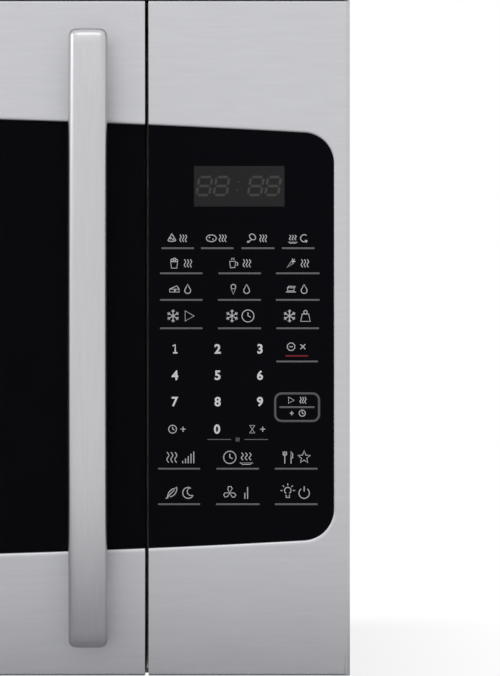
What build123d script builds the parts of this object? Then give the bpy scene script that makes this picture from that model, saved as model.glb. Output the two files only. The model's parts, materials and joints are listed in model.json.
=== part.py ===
"""Over-the-range microwave oven with a side-hinged door and a touch control panel.

Millimetres. +X is the viewer's right, -Y is the front, +Z is up. The origin is the centre
of the bounding box at the level of the flat underside.
"""

import math
import os
from collections import namedtuple

from build123d import *

# ---------------------------------------------------------------- driving dimensions
# Whole appliance
front_width = 759.0
case_inset = 2.0  # the front stands this far proud of the case's sides
grille_height = 41.6
case_depth = 345.0
case_bend = 4.0
door_thickness = 40.0
handle_reach = 42.0
wall_plate_depth = 8.0
wall_plate_inset = 27.5  # from the case's sides
wall_plate_low = 8.0
wall_plate_below_top = 16.0
wall_plate_sheet = 1.5
front_gap = 1.5  # air between the back of the door and the oven's front plate
seam = 2.0  # gap between neighbouring pieces of the front
front_foot = 2.0  # the front pieces hang this far above the underside

# Sheet and moulding thicknesses
sheet = 1.0
front_plate_sheet = 1.2
moulding = 2.5
fit = 0.3  # assembly clearance between separate pieces
running_fit = 0.05  # radial clearance of pins and shafts

# Control panel and grille
panel_width = 110.4
panel_height = 370.4
skin_return = 14.0  # depth of the steel face's folded edges
skin_bend = 3.0
overlay_sheet = 1.0

# Inside the control panel
control_board_height = 230.0
control_board_below_top = 32.4
control_board_side = 8.0
board_from_overlay = 16.0
chassis_post_half = 3.0
chassis_rib_heights = (58.0, 203.0)  # above the panel's foot
chassis_rib_depth = 6.0
touch_tail_rise = 90.0

# Black area of the front, one curved outline across door and control panel
lens_side_border = 8.9
lens_mid_border = 63.2  # steel above and below it, at the middle of the front
lens_arc_rise = 11.0  # of each long edge, from its ends to its middle
lens_lift = 1.4  # of its centre line above the middle of the door
lens_corner = 17.0
lens_edge_bevel = 0.6
lens_overlap = 3.0  # the black pieces reach this far behind the steel

# Component bay
case_louvres = 8
case_louvre_pitch = 10.0
case_louvre_height = 40.0
case_louvre_width = 3.5
case_louvre_from_back = 80.0
case_louvre_from_top = 70.0
shelf_from_front = 34.0
shelf_fold = 12.0
transformer_from_cavity = 90.0
transformer_from_front = 110.0
capacitor_from_front = 212.0
diode_from_capacitor = 32.0
noise_board_from_front = 48.0
noise_board_length = 70.0
noise_board_height = 60.0
noise_board_below_ceiling = 24.0
noise_board_stand = 6.0
noise_stand_inset = 6.0
noise_stand_half = 3.0
# choke coil, capacitor and fuse: reach off the board, then span and rise on it
noise_parts = (
    (20.0, (8.0, 34.0), (26.0, 52.0)),
    (14.0, (40.0, 58.0), (12.0, 44.0)),
    (7.0, (8.0, 34.0), (7.0, 14.0)),
)
fan_from_back = 62.0
fan_below_antenna = 15.0
fan_motor_stand = 30.0
waveguide_reach = 38.0
waveguide_sheet = 1.2
waveguide_border = 6.0  # round the port
waveguide_above_antenna = 30.0
antenna_clearance = 4.0
mica_margin = 8.0  # cover round the port
mica_sheet = 0.6
antenna_rise = 62.0  # from the port to the magnetron's antenna
antenna_radius = 7.0
antenna_length = 26.0
magnetron_plate = 2.0
yoke_width = 84.0
yoke_height = 68.0
yoke_depth = 50.0
yoke_sheet = 2.0
anode_half = 17.0
magnet_radius = 27.0
magnet_height = 12.0
magnetron_fins = 6
fin_sheet = 0.8
fin_inset = 8.0
filter_box = 32.0
filter_box_inset = 10.0
filter_box_drop = 4.0
core_length = 96.0
core_width = 62.0
core_height = 78.0
coil_overhang = 14.0
coil_inset = 18.0
coil_spans = ((12.0, 32.0), (40.0, 66.0))  # primary and secondary, above the foot
transformer_foot = 3.0
foot_overhang = 12.0
capacitor_length = 52.0
capacitor_width = 34.0
capacitor_height = 84.0
capacitor_corner = 10.0
terminal_width = 6.0
terminal_sheet = 0.8
terminal_spread = 10.0
terminal_height = 9.0
diode_width = 7.0
diode_length = 22.0
diode_tag_length = 13.0
fan_blade_radius = 48.0
fan_tip_clearance = 3.0
fan_blades = 5
fan_blade_width = 24.0
fan_blade_pitch = 24.0  # degrees
fan_hub_radius = 14.0
fan_hub_length = 12.0
fan_blade_sheet = 1.4
fan_blade_from_plate = 5.0
fan_plate_sheet = 1.5
fan_duct_side = 45.0  # room between the cavity and the fan's plate
fan_leg_spread = 56.0
fan_leg_width = 8.0
fan_bar_height = 12.0
fan_bar_length = 120.0
fan_bar_sheet = 2.0
fan_shaft_room = 4.0
fan_core_half = 26.0
fan_core_depth = 16.0
fan_core_span = (-34.0, 20.0)  # below and above the shaft
fan_coil_half = 15.0
fan_coil_depth = 22.5
fan_coil_span = (-42.0, -26.0)
fan_plate_half = 62.0
fan_collar = 18.0
fan_shaft_radius = 2.0
board_sheet = 1.6
lamp_holder_half = 15.0
lamp_holder_length = 34.0
lamp_holder_wall = 1.5
cavity_bulb_radius = 7.0
cavity_bulb_back = 6.0

# Display
display_width = 49.6
display_height = 22.2
display_from_right = 85.5  # from the appliance's right side to its left edge
display_below_top = 113.1  # from the panel's top to its lower edge
display_fit = 0.05

# Oven cavity
cavity_behind = 3.0  # from the cavity's back wall to the case's back
cavity_left_wall = 51.5  # from the front's left edge to the cavity
cavity_right_wall = 71.1  # from the cavity to the door's right edge
cavity_floor = 45.0
cavity_below_top = 77.4  # from the door's top to the cavity's ceiling
cavity_corner = 18.0
port_width = 70.0
port_height = 40.0
port_height_above_floor = 115.0
port_from_front = 205.0
lamp_port_half = 11.0
lamp_port_from_front = 155.0
lamp_port_below_ceiling = 24.0
drive_hole_radius = 9.0

# Door
door_glass_thickness = 3.2
window_left_border = 90.0
window_right_border = 112.0
window_low_border = 78.0
window_high_border = 108.0
choke_width = 20.0
choke_depth = 17.0
choke_start = 4.0  # from the cavity's edge to the choke channel
choke_cover_thickness = 1.4
frame_return = 20.0  # depth of the door frame's folded edges
# the surround's rear left edge turns past the front plate, so it is rounded
surround_corner = 4.0
screen_sheet = 0.6

# Hinge
hinge_inset_x = 9.5
hinge_inset_y = 12.0
hinge_pin_radius = 3.0
hinge_pin_length = 12.0
hinge_arm_thickness = 3.0
hinge_arm_half_width = 5.5
hinge_leg_height = 30.0
hinge_pocket = 9.0  # height of the space above the door frame for the arm
bush_half = 4.2
bush_length = 8.0

# Latch
latch_from_cavity = 40.0
latch_key_thickness = 4.0
latch_key_width = 16.0
latch_low = 110.0
latch_high = 262.0
hook_height = 8.0
hook_reach = 20.0
hook_barb = 4.0
latch_travel = 5.0
latch_play = 0.4
hook_clearance = 2.0
sill_depth = 8.0  # of the sill that the barbs drop behind
switch_width = 10.0
switch_depth = 16.0
switch_height = 28.0
switch_drop = 6.0  # from a hook's underside to its switch's
plunger_half = 1.5
plunger_length = 4.0
latch_key_end = 14.0  # key beyond its hooks
spring_room = 20.0
spring_strip = 0.8
spring_width = 8.0
spring_folds = 4
latch_board_left = 12.0  # from the latch key to the board's edges
latch_board_right = 22.0
latch_board_below = 30.0  # from the hooks to the board's ends
latch_board_above = 40.0
latch_board_behind = 6.0  # board behind the hooks' tips
plunger_rise = 10.0  # from a switch's underside to its plunger
switch_cheek = 2.0

# Handle
handle_from_door_edge = 30.0
handle_bar_width = 21.0
handle_bar_depth = 13.0
handle_end_margin = 18.0  # from the door's top and foot
handle_bow = 9.0
handle_post_half = 7.5
handle_post_from_end = 21.0

# Turntable
tray_clearance = 13.5  # from the tray to the cavity's nearest walls
tray_thickness = 5.0
tray_rim_height = 9.0
tray_rim_run = 14.0
roller_radius = 8.5
roller_width = 6.0
roller_circle = 92.0
roller_pin_radius = 2.0
ring_width = 10.0
hub_radius = 36.0
hub_sides = 24
ring_thickness = 4.0
coupler_radius = 22.0
coupler_lobe_width = 9.0
coupler_stem_radius = 7.0
tray_motor_half = 25.0
tray_motor_corner = 9.0
tray_motor_height = 15.0
motor_socket = 8.0  # depth of the coupler's socket in the motor
roller_lift = 0.1  # gap between a roller and the floor or the tray

# Underside
base_flange = 14.0
filter_length = 250.0
filter_width = 130.0
filter_thickness = 8.0
filter_from_centre = 100.0
filter_from_back = 60.0
filter_rim = 11.0
filter_recess = 0.6
lamp_cover_length = 110.0
lamp_cover_width = 66.0
lamp_cover_thickness = 3.2
lamp_from_centre = 175.0
lamp_from_front = 30.0
cover_knuckle = 2.2  # half the height of the thick edge that holds the pins
cover_edge = 0.5  # gap between a lamp cover and its opening
cover_pin_radius = 1.0
ear_thickness = 2.0  # of the ears that carry the covers' pins
ear_height = 8.0
ear_width = 8.0
intake_slots = 12
intake_pitch = 10.0
intake_slot_width = 4.0
intake_slot_length = 46.0
intake_from_front = 60.0
filter_stop_reach = 6.0
filter_stop_width = 30.0
cover_barrel_inset = 3.08  # from a cover's rear edge to its pins
cooktop_bulb_height = 20.0
cooktop_bulb_radius = 10.5
cooktop_bulb_length = 48.0
cooktop_socket_length = 20.0
cooktop_socket_half = 9.0
lamp_bracket_half = 14.0
lamp_bracket_foot = 12.0
lamp_bracket_sheet = 2.0
lamp_bracket_height = 34.0
lamp_bracket_gap = 4.0  # from the opening to the bracket

# Vent path
blower_wheel_radius = 40.0
blower_wheel_length = 56.0
blower_blades = 14
blower_from_back = 80.0
blower_rise = 52.0  # from the oven's roof to the blower's axis
blower_inlet_radius = 32.0
blower_motor_half = 28.0
blower_motor_reach = 26.0  # half the motor's length along the shaft
blower_bell_sides = 12
blower_bell_length = 6.0
blower_saddle_half = 20.0
blower_disc = 1.6
blower_ring_width = 7.0
blower_vane_width = 6.0
blower_vane_sheet = 1.0
blower_vane_angle = 40.0
blower_foot_spread = 14.0
deck_half = 30.0
deck_lip_drop = 8.0
deck_sheet = 1.5  # of the deck that carries the motor
scroll_length = 66.0
scroll_gap = 70.0  # between the two scrolls, where the motor sits
scroll_sheet = 1.2
scroll_end_radius = 51.0
scroll_start_radius = 45.0
scroll_sweep = 244.0
scroll_flats = 10
blower_shaft_radius = 4.0
exhaust_length = 254.0
exhaust_width = 83.0
exhaust_from_back = 26.0  # from the back panel to the duct collar
exhaust_collar_height = 30.0
exhaust_flange_border = 18.0
damper_height = 13.0
damper_pin_radius = 1.2
damper_pin_inset = 4.0  # from the duct's front wall
ledge_reach = 5.0
ledge_sheet = 1.0
flap_sheet = 1.0
charcoal_length = 300.0
charcoal_thickness = 12.0

# Grille
grille_wall = 1.6
grille_border = 14.0
grille_low_border = 7.0
grille_high_border = 6.0
grille_slats = 4
grille_slat_depth = 9.0
grille_slat_sheet = 1.4
grille_ribs = 6

# Fixings
cabinet_bolt_span = 609.6
cabinet_bolt_from_front = 100.0
cabinet_bolt_hole_radius = 3.2
bolt_nut_wall = 5.0
bolt_nut_height = 9.0
wall_screw_span = 406.4
wall_screw_rise = 254.0
wall_screw_hole_radius = 3.5
hook_spacing = 420.0  # of the wall plate's two hooks
hook_width = 48.0
hook_slot_low = 20.0
hook_slot_height = 4.0
hook_side_play = 6.0
hook_reach_in = 10.0  # from the back panel's face to the hook's front
hook_upturn = 10.5
toggle_slots = 4
toggle_slot_pitch = 130.0
toggle_slot_rise = 120.0
toggle_slot_length = 70.0
toggle_slot_width = 8.0
gland_bore_radius = 4.5
gland_half = 9.0
gland_head_half = 12.5
gland_from_right = 60.0
gland_from_back = 45.0

Rect = namedtuple("Rect", "left right low high")

# ---------------------------------------------------------------- reference planes
overall_depth = (
    wall_plate_depth + case_depth + front_gap + door_thickness + handle_reach
)
back_y = overall_depth / 2
panel_top = front_foot + panel_height
body_height = panel_top + seam + grille_height
case_back = back_y - wall_plate_depth
flange_y = case_back - case_depth  # face of the oven's front plate
door_back = flange_y - front_gap
door_front = door_back - door_thickness
half_front = front_width / 2
half_case = half_front - case_inset
base_half_width = half_case - sheet - fit
lens_height = front_foot + panel_height / 2 + lens_lift
lens_mid_half_height = panel_height / 2 - lens_mid_border
lens_end_half_height = lens_mid_half_height - lens_arc_rise

panel_outline = Rect(half_front - panel_width, half_front, front_foot, panel_top)
door_outline = Rect(-half_front, panel_outline.left - seam, front_foot, panel_top)
grille_outline = Rect(-half_front, half_front, panel_top + seam, body_height)
case_outline = Rect(-half_case, half_case, 0.5, body_height)
cavity = Rect(
    door_outline.left + cavity_left_wall,
    door_outline.right - cavity_right_wall,
    cavity_floor,
    panel_top - cavity_below_top,
)
cavity_back = case_back - cavity_behind
cavity_depth = cavity_back - flange_y
cavity_outside = cavity.right + sheet  # outer face of the right wall
cavity_roof = cavity.high + sheet
overlay_front = door_front + sheet  # the black pieces lie behind the steel face
overlay_back = overlay_front + overlay_sheet
board_face = flange_y + front_plate_sheet
latch_x = cavity.right + latch_from_cavity
latch_places = (latch_low, latch_high)
hinge_x = door_outline.left + hinge_inset_x
hinge_y = door_back - hinge_inset_y
front_plate = Rect(
    -base_half_width, panel_outline.left + 12, front_foot + 1, panel_top - 1
)
# the top and bottom of the door's inner frame, below and above the hinge arms
door_frame_margin = moulding + sheet + hinge_pocket
hinge_arm_offset = door_frame_margin - 1.5 - hinge_arm_thickness
upper_arm_z = door_outline.high - hinge_arm_offset
lower_arm_z = door_outline.low + hinge_arm_offset


# ---------------------------------------------------------------- drawing helpers
def facing(y):
    """Drawing plane at depth y, seen from the front: X to the right, Z up."""
    return Plane.XZ.offset(-y)


def from_right(x):
    """Drawing plane at x, seen from the right side: Y to the right, Z up."""
    return Plane.YZ.offset(x)


def grow(rect, amount):
    return Rect(
        rect.left - amount, rect.right + amount, rect.low - amount, rect.high + amount
    )


def rectangle(rect, corner=0.0, mode=Mode.ADD):
    """Adds a rectangle to the sketch being drawn."""
    with Locations(((rect.left + rect.right) / 2, (rect.low + rect.high) / 2)):
        if corner:
            RectangleRounded(
                rect.right - rect.left, rect.high - rect.low, corner, mode=mode
            )
        else:
            Rectangle(rect.right - rect.left, rect.high - rect.low, mode=mode)


def block(x, y, z, mode=Mode.ADD):
    """Adds a box that spans the pairs x, y and z to the part being made."""
    centre = [(pair[0] + pair[1]) / 2 for pair in (x, y, z)]
    with Locations(tuple(centre)):
        Box(x[1] - x[0], y[1] - y[0], z[1] - z[0], mode=mode)


def rounded_block(x, y, z, radius, corners=2, mode=Mode.ADD):
    """Adds a box whose rear left upright edge, or both rear ones, are rounded."""
    with BuildSketch(Plane.XY.offset(z[0])) as plan:
        rectangle(Rect(x[0], x[1], y[0], y[1]))
        rear = plan.vertices().group_by(Axis.Y)[-1].sort_by(Axis.X)
        fillet(rear[:corners], radius)
    extrude(plan.sketch, amount=z[1] - z[0], mode=mode)


def rod(start, end, radius, mode=Mode.ADD):
    """Adds a round bar from start to end, both along one axis."""
    axis = Vector(*end) - Vector(*start)
    with BuildSketch(Plane(origin=start, z_dir=axis)) as section:
        Circle(radius)
    extrude(section.sketch, amount=axis.length, mode=mode)


def twelve_sided_rod(start, end, radius, mode=Mode.ADD):
    """Adds a slender bar with twelve flats, radius to its corners."""
    axis = Vector(*end) - Vector(*start)
    with BuildSketch(Plane(origin=start, z_dir=axis)) as section:
        RegularPolygon(radius, 12)
    extrude(section.sketch, amount=axis.length, mode=mode)


def lens_face(amount=0.0):
    """The black area's outline, grown by amount, with a shallow arc above and below."""
    reach = half_front - lens_side_border + amount
    middle = lens_mid_half_height + amount
    end = lens_end_half_height + amount
    with BuildSketch() as outline:
        with BuildLine():
            ThreePointArc(
                (-reach, lens_height + end),
                (0, lens_height + middle),
                (reach, lens_height + end),
            )
            Line((reach, lens_height + end), (reach, lens_height - end))
            ThreePointArc(
                (reach, lens_height - end),
                (0, lens_height - middle),
                (-reach, lens_height - end),
            )
            Line((-reach, lens_height - end), (-reach, lens_height + end))
        make_face()
        fillet(outline.vertices(), lens_corner + amount)
    return outline.sketch


def steel_face(outline, open_side):
    """A folded steel face with the black area's opening. Its seam side has no fold."""
    with BuildPart() as face:
        with BuildSketch(facing(door_front + skin_return)):
            rectangle(outline)
        extrude(amount=skin_return)
        front_edges = face.faces().sort_by(Axis.Y)[0].edges()
        seam_edge = front_edges.filter_by(Axis.Z).sort_by(Axis.X)[open_side]
        fillet([edge for edge in front_edges if edge != seam_edge], skin_bend)
        back_face = face.faces().sort_by(Axis.Y)[-1]
        seam_face = face.faces().filter_by(Axis.X).sort_by(Axis.X)[open_side]
        offset(amount=-sheet, openings=[back_face, seam_face])
        with BuildSketch(facing(door_front)):
            add(lens_face())
        extrude(amount=-2 * sheet, mode=Mode.SUBTRACT)
        rim = [
            edge
            for edge in face.faces().sort_by(Axis.Y)[0].edges()
            if is_lens_edge(edge, outline)
        ]
        chamfer(rim, lens_edge_bevel)
    return face.part


def is_lens_edge(edge, outline):
    """True for an edge of the front face that borders the black area."""
    middle = edge.position_at(0.5)
    across = outline.left + 1 < middle.X < outline.right - 1
    return (
        across
        and abs(middle.X) < half_front - lens_side_border + 1
        and abs(middle.Z - lens_height) < lens_mid_half_height + 1
    )


# ---------------------------------------------------------------- case and underside
exhaust_back = case_back - exhaust_from_back
exhaust_outline = Rect(
    -exhaust_length / 2, exhaust_length / 2, exhaust_back - exhaust_width, exhaust_back
)
bolt_y = flange_y + cabinet_bolt_from_front
bolt_places = [(-cabinet_bolt_span / 2, bolt_y), (cabinet_bolt_span / 2, bolt_y)]
gland_place = (half_case - gland_from_right, case_back - gland_from_back)
with BuildPart() as outer_case:
    wrap = Rect(
        case_outline.left, case_outline.right, case_outline.low - 20, case_outline.high
    )
    with BuildSketch(facing(case_back)):
        rectangle(wrap, case_bend)
        rectangle(grow(wrap, -sheet), case_bend - sheet, mode=Mode.SUBTRACT)
        rectangle(
            Rect(-half_case, half_case, wrap.low, case_outline.low), mode=Mode.SUBTRACT
        )
    extrude(amount=case_depth)
    # nuts for the cabinet bolts, welded under the top
    with BuildSketch(Plane.XY.offset(body_height - sheet)):
        with Locations(*bolt_places):
            RegularPolygon(cabinet_bolt_hole_radius + bolt_nut_wall, 6)
    extrude(amount=-bolt_nut_height)
    with BuildSketch(Plane.XY.offset(body_height)):
        with Locations(*bolt_places):
            Circle(cabinet_bolt_hole_radius)
    extrude(amount=-bolt_nut_height - 2 * sheet, mode=Mode.SUBTRACT)
    # exhaust and cord openings
    with BuildSketch(Plane.XY.offset(body_height)):
        rectangle(grow(exhaust_outline, -2 * sheet))
        with Locations(gland_place):
            Rectangle(2 * gland_half, 2 * gland_half)
    extrude(amount=-2 * sheet, mode=Mode.SUBTRACT)
    # louvres for the component bay, high on the right
    with BuildSketch(from_right(half_case)):
        with Locations(
            (case_back - case_louvre_from_back, body_height - case_louvre_from_top)
        ):
            with GridLocations(case_louvre_pitch, 0, case_louvres, 1):
                Rectangle(case_louvre_width, case_louvre_height)
    extrude(amount=-2 * sheet, mode=Mode.SUBTRACT)
outer_case.part.label = "outer_case"

base_outline = Rect(
    -base_half_width,
    base_half_width,
    flange_y + front_plate_sheet,
    case_back - sheet,
)
filter_back = case_back - filter_from_back


def filter_outline(side):
    """Opening of the left (-1) or right (1) grease filter in the bottom pan."""
    inner = side * filter_from_centre
    outer = side * (filter_from_centre + filter_length)
    return Rect(
        min(inner, outer), max(inner, outer), filter_back - filter_width, filter_back
    )


def lamp_outline(side):
    """Opening of the left (-1) or right (1) lamp cover in the bottom pan."""
    low = flange_y + lamp_from_front
    centre = side * lamp_from_centre
    return Rect(
        centre - lamp_cover_length / 2,
        centre + lamp_cover_length / 2,
        low,
        low + lamp_cover_width,
    )


cover_axis_y = lamp_outline(1).high - cover_edge - cover_barrel_inset
cover_axis_z = filter_recess + cover_knuckle

with BuildPart() as base_pan:
    with BuildSketch():
        rectangle(base_outline)
    extrude(amount=base_flange)
    offset(amount=-sheet, openings=base_pan.faces().sort_by(Axis.Z)[-1])
    # upstanding collars round the filter and lamp openings
    for side in (-1, 1):
        with BuildSketch(Plane.XY):
            rectangle(grow(filter_outline(side), sheet))
        extrude(amount=filter_thickness)
        with BuildSketch(Plane.XY):
            rectangle(filter_outline(side))
            rectangle(lamp_outline(side))
        extrude(amount=filter_thickness + 1, mode=Mode.SUBTRACT)
        # stops over the filter's ends
        opening = filter_outline(side)
        stop_low = filter_recess + filter_thickness + fit
        for edge, reach in (
            (opening.left, filter_stop_reach),
            (opening.right, -filter_stop_reach),
        ):
            wall = edge - math.copysign(sheet, reach)
            middle = (opening.low + opening.high) / 2
            block(
                sorted((wall, edge)),
                (middle - filter_stop_width / 2, middle + filter_stop_width / 2),
                (filter_thickness - 1, stop_low + sheet),
            )
            block(
                sorted((wall, edge + reach)),
                (middle - filter_stop_width / 2, middle + filter_stop_width / 2),
                (stop_low, stop_low + sheet),
            )
        # ears that carry the lamp cover's pins
        lamp = lamp_outline(side)
        for ear_x in (lamp.left - ear_thickness, lamp.right):
            block(
                (ear_x, ear_x + ear_thickness),
                (cover_axis_y - ear_width / 2, cover_axis_y + ear_width / 2),
                (0, ear_height),
            )
        # square holes that the pins snap into
        half = cover_pin_radius + running_fit
        block(
            (lamp.left - ear_thickness - 1, lamp.right + ear_thickness + 1),
            (cover_axis_y - half, cover_axis_y + half),
            (cover_axis_z - half, cover_axis_z + half),
            Mode.SUBTRACT,
        )
    # air intake slots between the lamps
    with BuildSketch():
        with Locations((0, flange_y + intake_from_front)):
            with GridLocations(intake_pitch, 0, intake_slots, 1):
                Rectangle(intake_slot_width, intake_slot_length)
    extrude(amount=2 * sheet, mode=Mode.SUBTRACT)
    # room for the lower hinge's leg in the front left corner
    block(
        (-half_case, hinge_x + hinge_arm_half_width + 1),
        (flange_y, flange_y + front_plate_sheet + hinge_arm_thickness + 1),
        (lower_arm_z - hinge_arm_thickness, base_flange + 1),
        Mode.SUBTRACT,
    )
base_pan.part.label = "base_pan"

# in the back panel, about each hook's centre
hook_slot = Rect(
    -hook_width / 2 - hook_side_play,
    hook_width / 2 + hook_side_play,
    hook_slot_low,
    hook_slot_low + hook_slot_height,
)

with BuildPart() as back_panel:
    with BuildSketch(facing(case_back)):
        rectangle(
            Rect(-base_half_width, base_half_width, sheet, body_height - sheet - case_bend)
        )
    extrude(amount=sheet)
    with BuildSketch(facing(case_back)):
        with Locations((-hook_spacing / 2, 0), (hook_spacing / 2, 0)):
            rectangle(hook_slot)
    extrude(amount=2 * sheet, mode=Mode.SUBTRACT)
back_panel.part.label = "back_panel"

plate_outline = Rect(
    wall_plate_inset - half_case,
    half_case - wall_plate_inset,
    wall_plate_low,
    body_height - wall_plate_below_top,
)

with BuildPart() as wall_plate:
    with BuildSketch(facing(back_y)):
        rectangle(plate_outline)
    extrude(amount=wall_plate_depth - fit)
    offset(amount=-wall_plate_sheet, openings=wall_plate.faces().sort_by(Axis.Y)[0])
    with BuildSketch(facing(back_y)):
        with Locations((0, (plate_outline.low + plate_outline.high) / 2)):
            with GridLocations(wall_screw_span, wall_screw_rise, 2, 2):
                Circle(wall_screw_hole_radius)
            # two rows of slots for toggle bolts
            with GridLocations(toggle_slot_pitch, toggle_slot_rise, toggle_slots, 2):
                Rectangle(toggle_slot_length, toggle_slot_width)
    extrude(amount=2 * wall_plate_sheet, mode=Mode.SUBTRACT)
    # hooks that the oven's back hangs on
    for centre in (-hook_spacing / 2, hook_spacing / 2):
        low = hook_slot_low + fit
        across = (centre - hook_width / 2, centre + hook_width / 2)
        tip = case_back - hook_reach_in
        block(across, (tip, back_y - wall_plate_sheet), (low, low + wall_plate_sheet))
        block(across, (tip, tip + wall_plate_sheet), (low, low + hook_upturn))
wall_plate.part.label = "wall_plate"

# ---------------------------------------------------------------- oven cavity
tray_centre = ((cavity.left + cavity.right) / 2, (flange_y + cavity_back) / 2)
port_y = flange_y + port_from_front
port_z = cavity.low + port_height_above_floor
lamp_y = flange_y + lamp_port_from_front
lamp_z = cavity.high - lamp_port_below_ceiling
with BuildPart() as oven_cavity:
    shell = grow(cavity, sheet)
    rounded_block(
        (shell.left, shell.right),
        (flange_y, cavity_back + sheet),
        (shell.low, shell.high),
        cavity_corner + sheet,
    )
    with BuildSketch(facing(flange_y)):
        rectangle(front_plate)
    extrude(amount=-front_plate_sheet)
    rounded_block(
        (cavity.left, cavity.right),
        (flange_y - 1, cavity_back),
        (cavity.low, cavity.high),
        cavity_corner,
        mode=Mode.SUBTRACT,
    )
    # slots for the latch hooks and the hinge arms
    with BuildSketch(facing(flange_y)):
        for height in latch_places:
            half = latch_key_thickness / 2 + hook_clearance
            rectangle(
                Rect(
                    latch_x - half,
                    latch_x + half,
                    height - hook_barb - hook_clearance,
                    height + hook_height + latch_travel + hook_clearance,
                )
            )
        for height in (lower_arm_z, upper_arm_z):
            rectangle(
                Rect(
                    hinge_x - hinge_arm_half_width - fit,
                    hinge_x + hinge_arm_half_width + fit,
                    height - hinge_arm_thickness / 2 - fit,
                    height + hinge_arm_thickness / 2 + fit,
                )
            )
    extrude(amount=-2 * front_plate_sheet, mode=Mode.SUBTRACT)
    # turntable drive, microwave port and square lamp port
    with BuildSketch(Plane.XY.offset(cavity.low)):
        with Locations(tray_centre):
            Circle(drive_hole_radius)
    extrude(amount=-2 * sheet, mode=Mode.SUBTRACT)
    with BuildSketch(from_right(cavity.right)):
        with Locations((port_y, port_z)):
            Rectangle(port_width, port_height)
        with Locations((lamp_y, lamp_z)):
            Rectangle(2 * lamp_port_half, 2 * lamp_port_half)
    extrude(amount=2 * sheet, mode=Mode.SUBTRACT)
oven_cavity.part.label = "oven_cavity"

with BuildPart() as waveguide_cover:
    with BuildSketch(from_right(cavity.right)):
        with Locations((port_y, port_z)):
            Rectangle(port_width + 2 * mica_margin, port_height + 2 * mica_margin)
    extrude(amount=-mica_sheet)
waveguide_cover.part.label = "waveguide_cover"

antenna_z = port_z + antenna_rise
waveguide_outline = Rect(
    port_y - port_width / 2 - waveguide_border,
    port_y + port_width / 2 + waveguide_border,
    port_z - port_height / 2 - waveguide_border,
    antenna_z + waveguide_above_antenna,
)
waveguide_face = cavity_outside + waveguide_reach

with BuildPart() as waveguide:
    with BuildSketch(from_right(cavity_outside)):
        rectangle(waveguide_outline)
    extrude(amount=waveguide_reach)
    offset(
        amount=-waveguide_sheet, openings=waveguide.faces().sort_by(Axis.X)[0]
    )
    with BuildSketch(from_right(waveguide_face)):
        with Locations((port_y, antenna_z)):
            half = antenna_radius + antenna_clearance
            Rectangle(2 * half, 2 * half)
    extrude(amount=-2 * waveguide_sheet, mode=Mode.SUBTRACT)
waveguide.part.label = "waveguide"

# ---------------------------------------------------------------- component bay
shelf_top = cavity.low - sheet
bay_right = half_case - sheet - fit
shelf_outline = Rect(
    cavity_outside + fit,
    bay_right,
    flange_y + front_plate_sheet + shelf_from_front,
    case_back - 2 * sheet,
)

with BuildPart() as component_shelf:
    with BuildSketch(Plane.XY.offset(shelf_top)):
        rectangle(shelf_outline)
    extrude(amount=-sheet)
    # folded edge against the case
    block(
        (bay_right - sheet, bay_right),
        (shelf_outline.low, shelf_outline.high),
        (shelf_top - shelf_fold, shelf_top),
    )
component_shelf.part.label = "component_shelf"

with BuildPart() as magnetron:
    plate_x = waveguide_face + magnetron_plate
    yoke = Rect(
        port_y - yoke_width / 2,
        port_y + yoke_width / 2,
        antenna_z - yoke_height / 2,
        antenna_z + yoke_height / 2,
    )
    block((waveguide_face, plate_x), (yoke.left, yoke.right), (yoke.low, yoke.high))
    # antenna into the waveguide
    twelve_sided_rod(
        (waveguide_face - antenna_length, port_y, antenna_z),
        (plate_x, port_y, antenna_z),
        antenna_radius,
    )
    # yoke: a frame open towards the fan and the duct
    with BuildSketch(from_right(plate_x)):
        rectangle(yoke)
        rectangle(
            Rect(
                yoke.left - 1, yoke.right + 1, yoke.low + yoke_sheet, yoke.high - yoke_sheet
            ),
            mode=Mode.SUBTRACT,
        )
    extrude(amount=yoke_depth)
    # anode block with its cooling fins and a ring magnet at each end
    block(
        (plate_x, plate_x + yoke_depth),
        (port_y - anode_half, port_y + anode_half),
        (antenna_z - anode_half, antenna_z + anode_half),
    )
    for end in (plate_x, plate_x + yoke_depth - magnet_height):
        with BuildSketch(from_right(end)):
            with Locations((port_y, antenna_z)):
                RegularPolygon(magnet_radius, 16)
        extrude(amount=magnet_height)
    fin_run = yoke_depth - 2 * magnet_height
    for index in range(magnetron_fins):
        fin_x = plate_x + magnet_height + fin_run * (index + 0.5) / magnetron_fins
        block(
            (fin_x - fin_sheet / 2, fin_x + fin_sheet / 2),
            (yoke.left + fin_inset, yoke.right - fin_inset),
            (yoke.low + yoke_sheet, yoke.high - yoke_sheet),
        )
    # choke box over the filament terminals
    block(
        (plate_x + yoke_depth, plate_x + yoke_depth + filter_box),
        (yoke.left + filter_box_inset, yoke.right - filter_box_inset),
        (yoke.low + filter_box_drop, yoke.high - filter_box_drop),
    )
magnetron.part.label = "magnetron"

transformer_place = (
    cavity_outside + transformer_from_cavity,
    flange_y + transformer_from_front,
)

with BuildPart() as hv_transformer:
    tx, ty = transformer_place
    tz = shelf_top + transformer_foot
    # laminated core
    block(
        (tx - core_width / 2, tx + core_width / 2),
        (ty - core_length / 2, ty + core_length / 2),
        (tz, tz + core_height),
    )
    # primary and secondary coils, standing out of both sides of the core
    for low, high in coil_spans:
        block(
            (tx - core_width / 2 - coil_overhang, tx + core_width / 2 + coil_overhang),
            (ty - core_length / 2 + coil_inset, ty + core_length / 2 - coil_inset),
            (tz + low, tz + high),
        )
    # welded foot plate
    block(
        (tx - core_width / 2, tx + core_width / 2),
        (ty - core_length / 2 - foot_overhang, ty + core_length / 2 + foot_overhang),
        (shelf_top, tz),
    )
hv_transformer.part.label = "hv_transformer"

capacitor_place = (
    cavity_outside + transformer_from_cavity,
    flange_y + capacitor_from_front,
)

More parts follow.
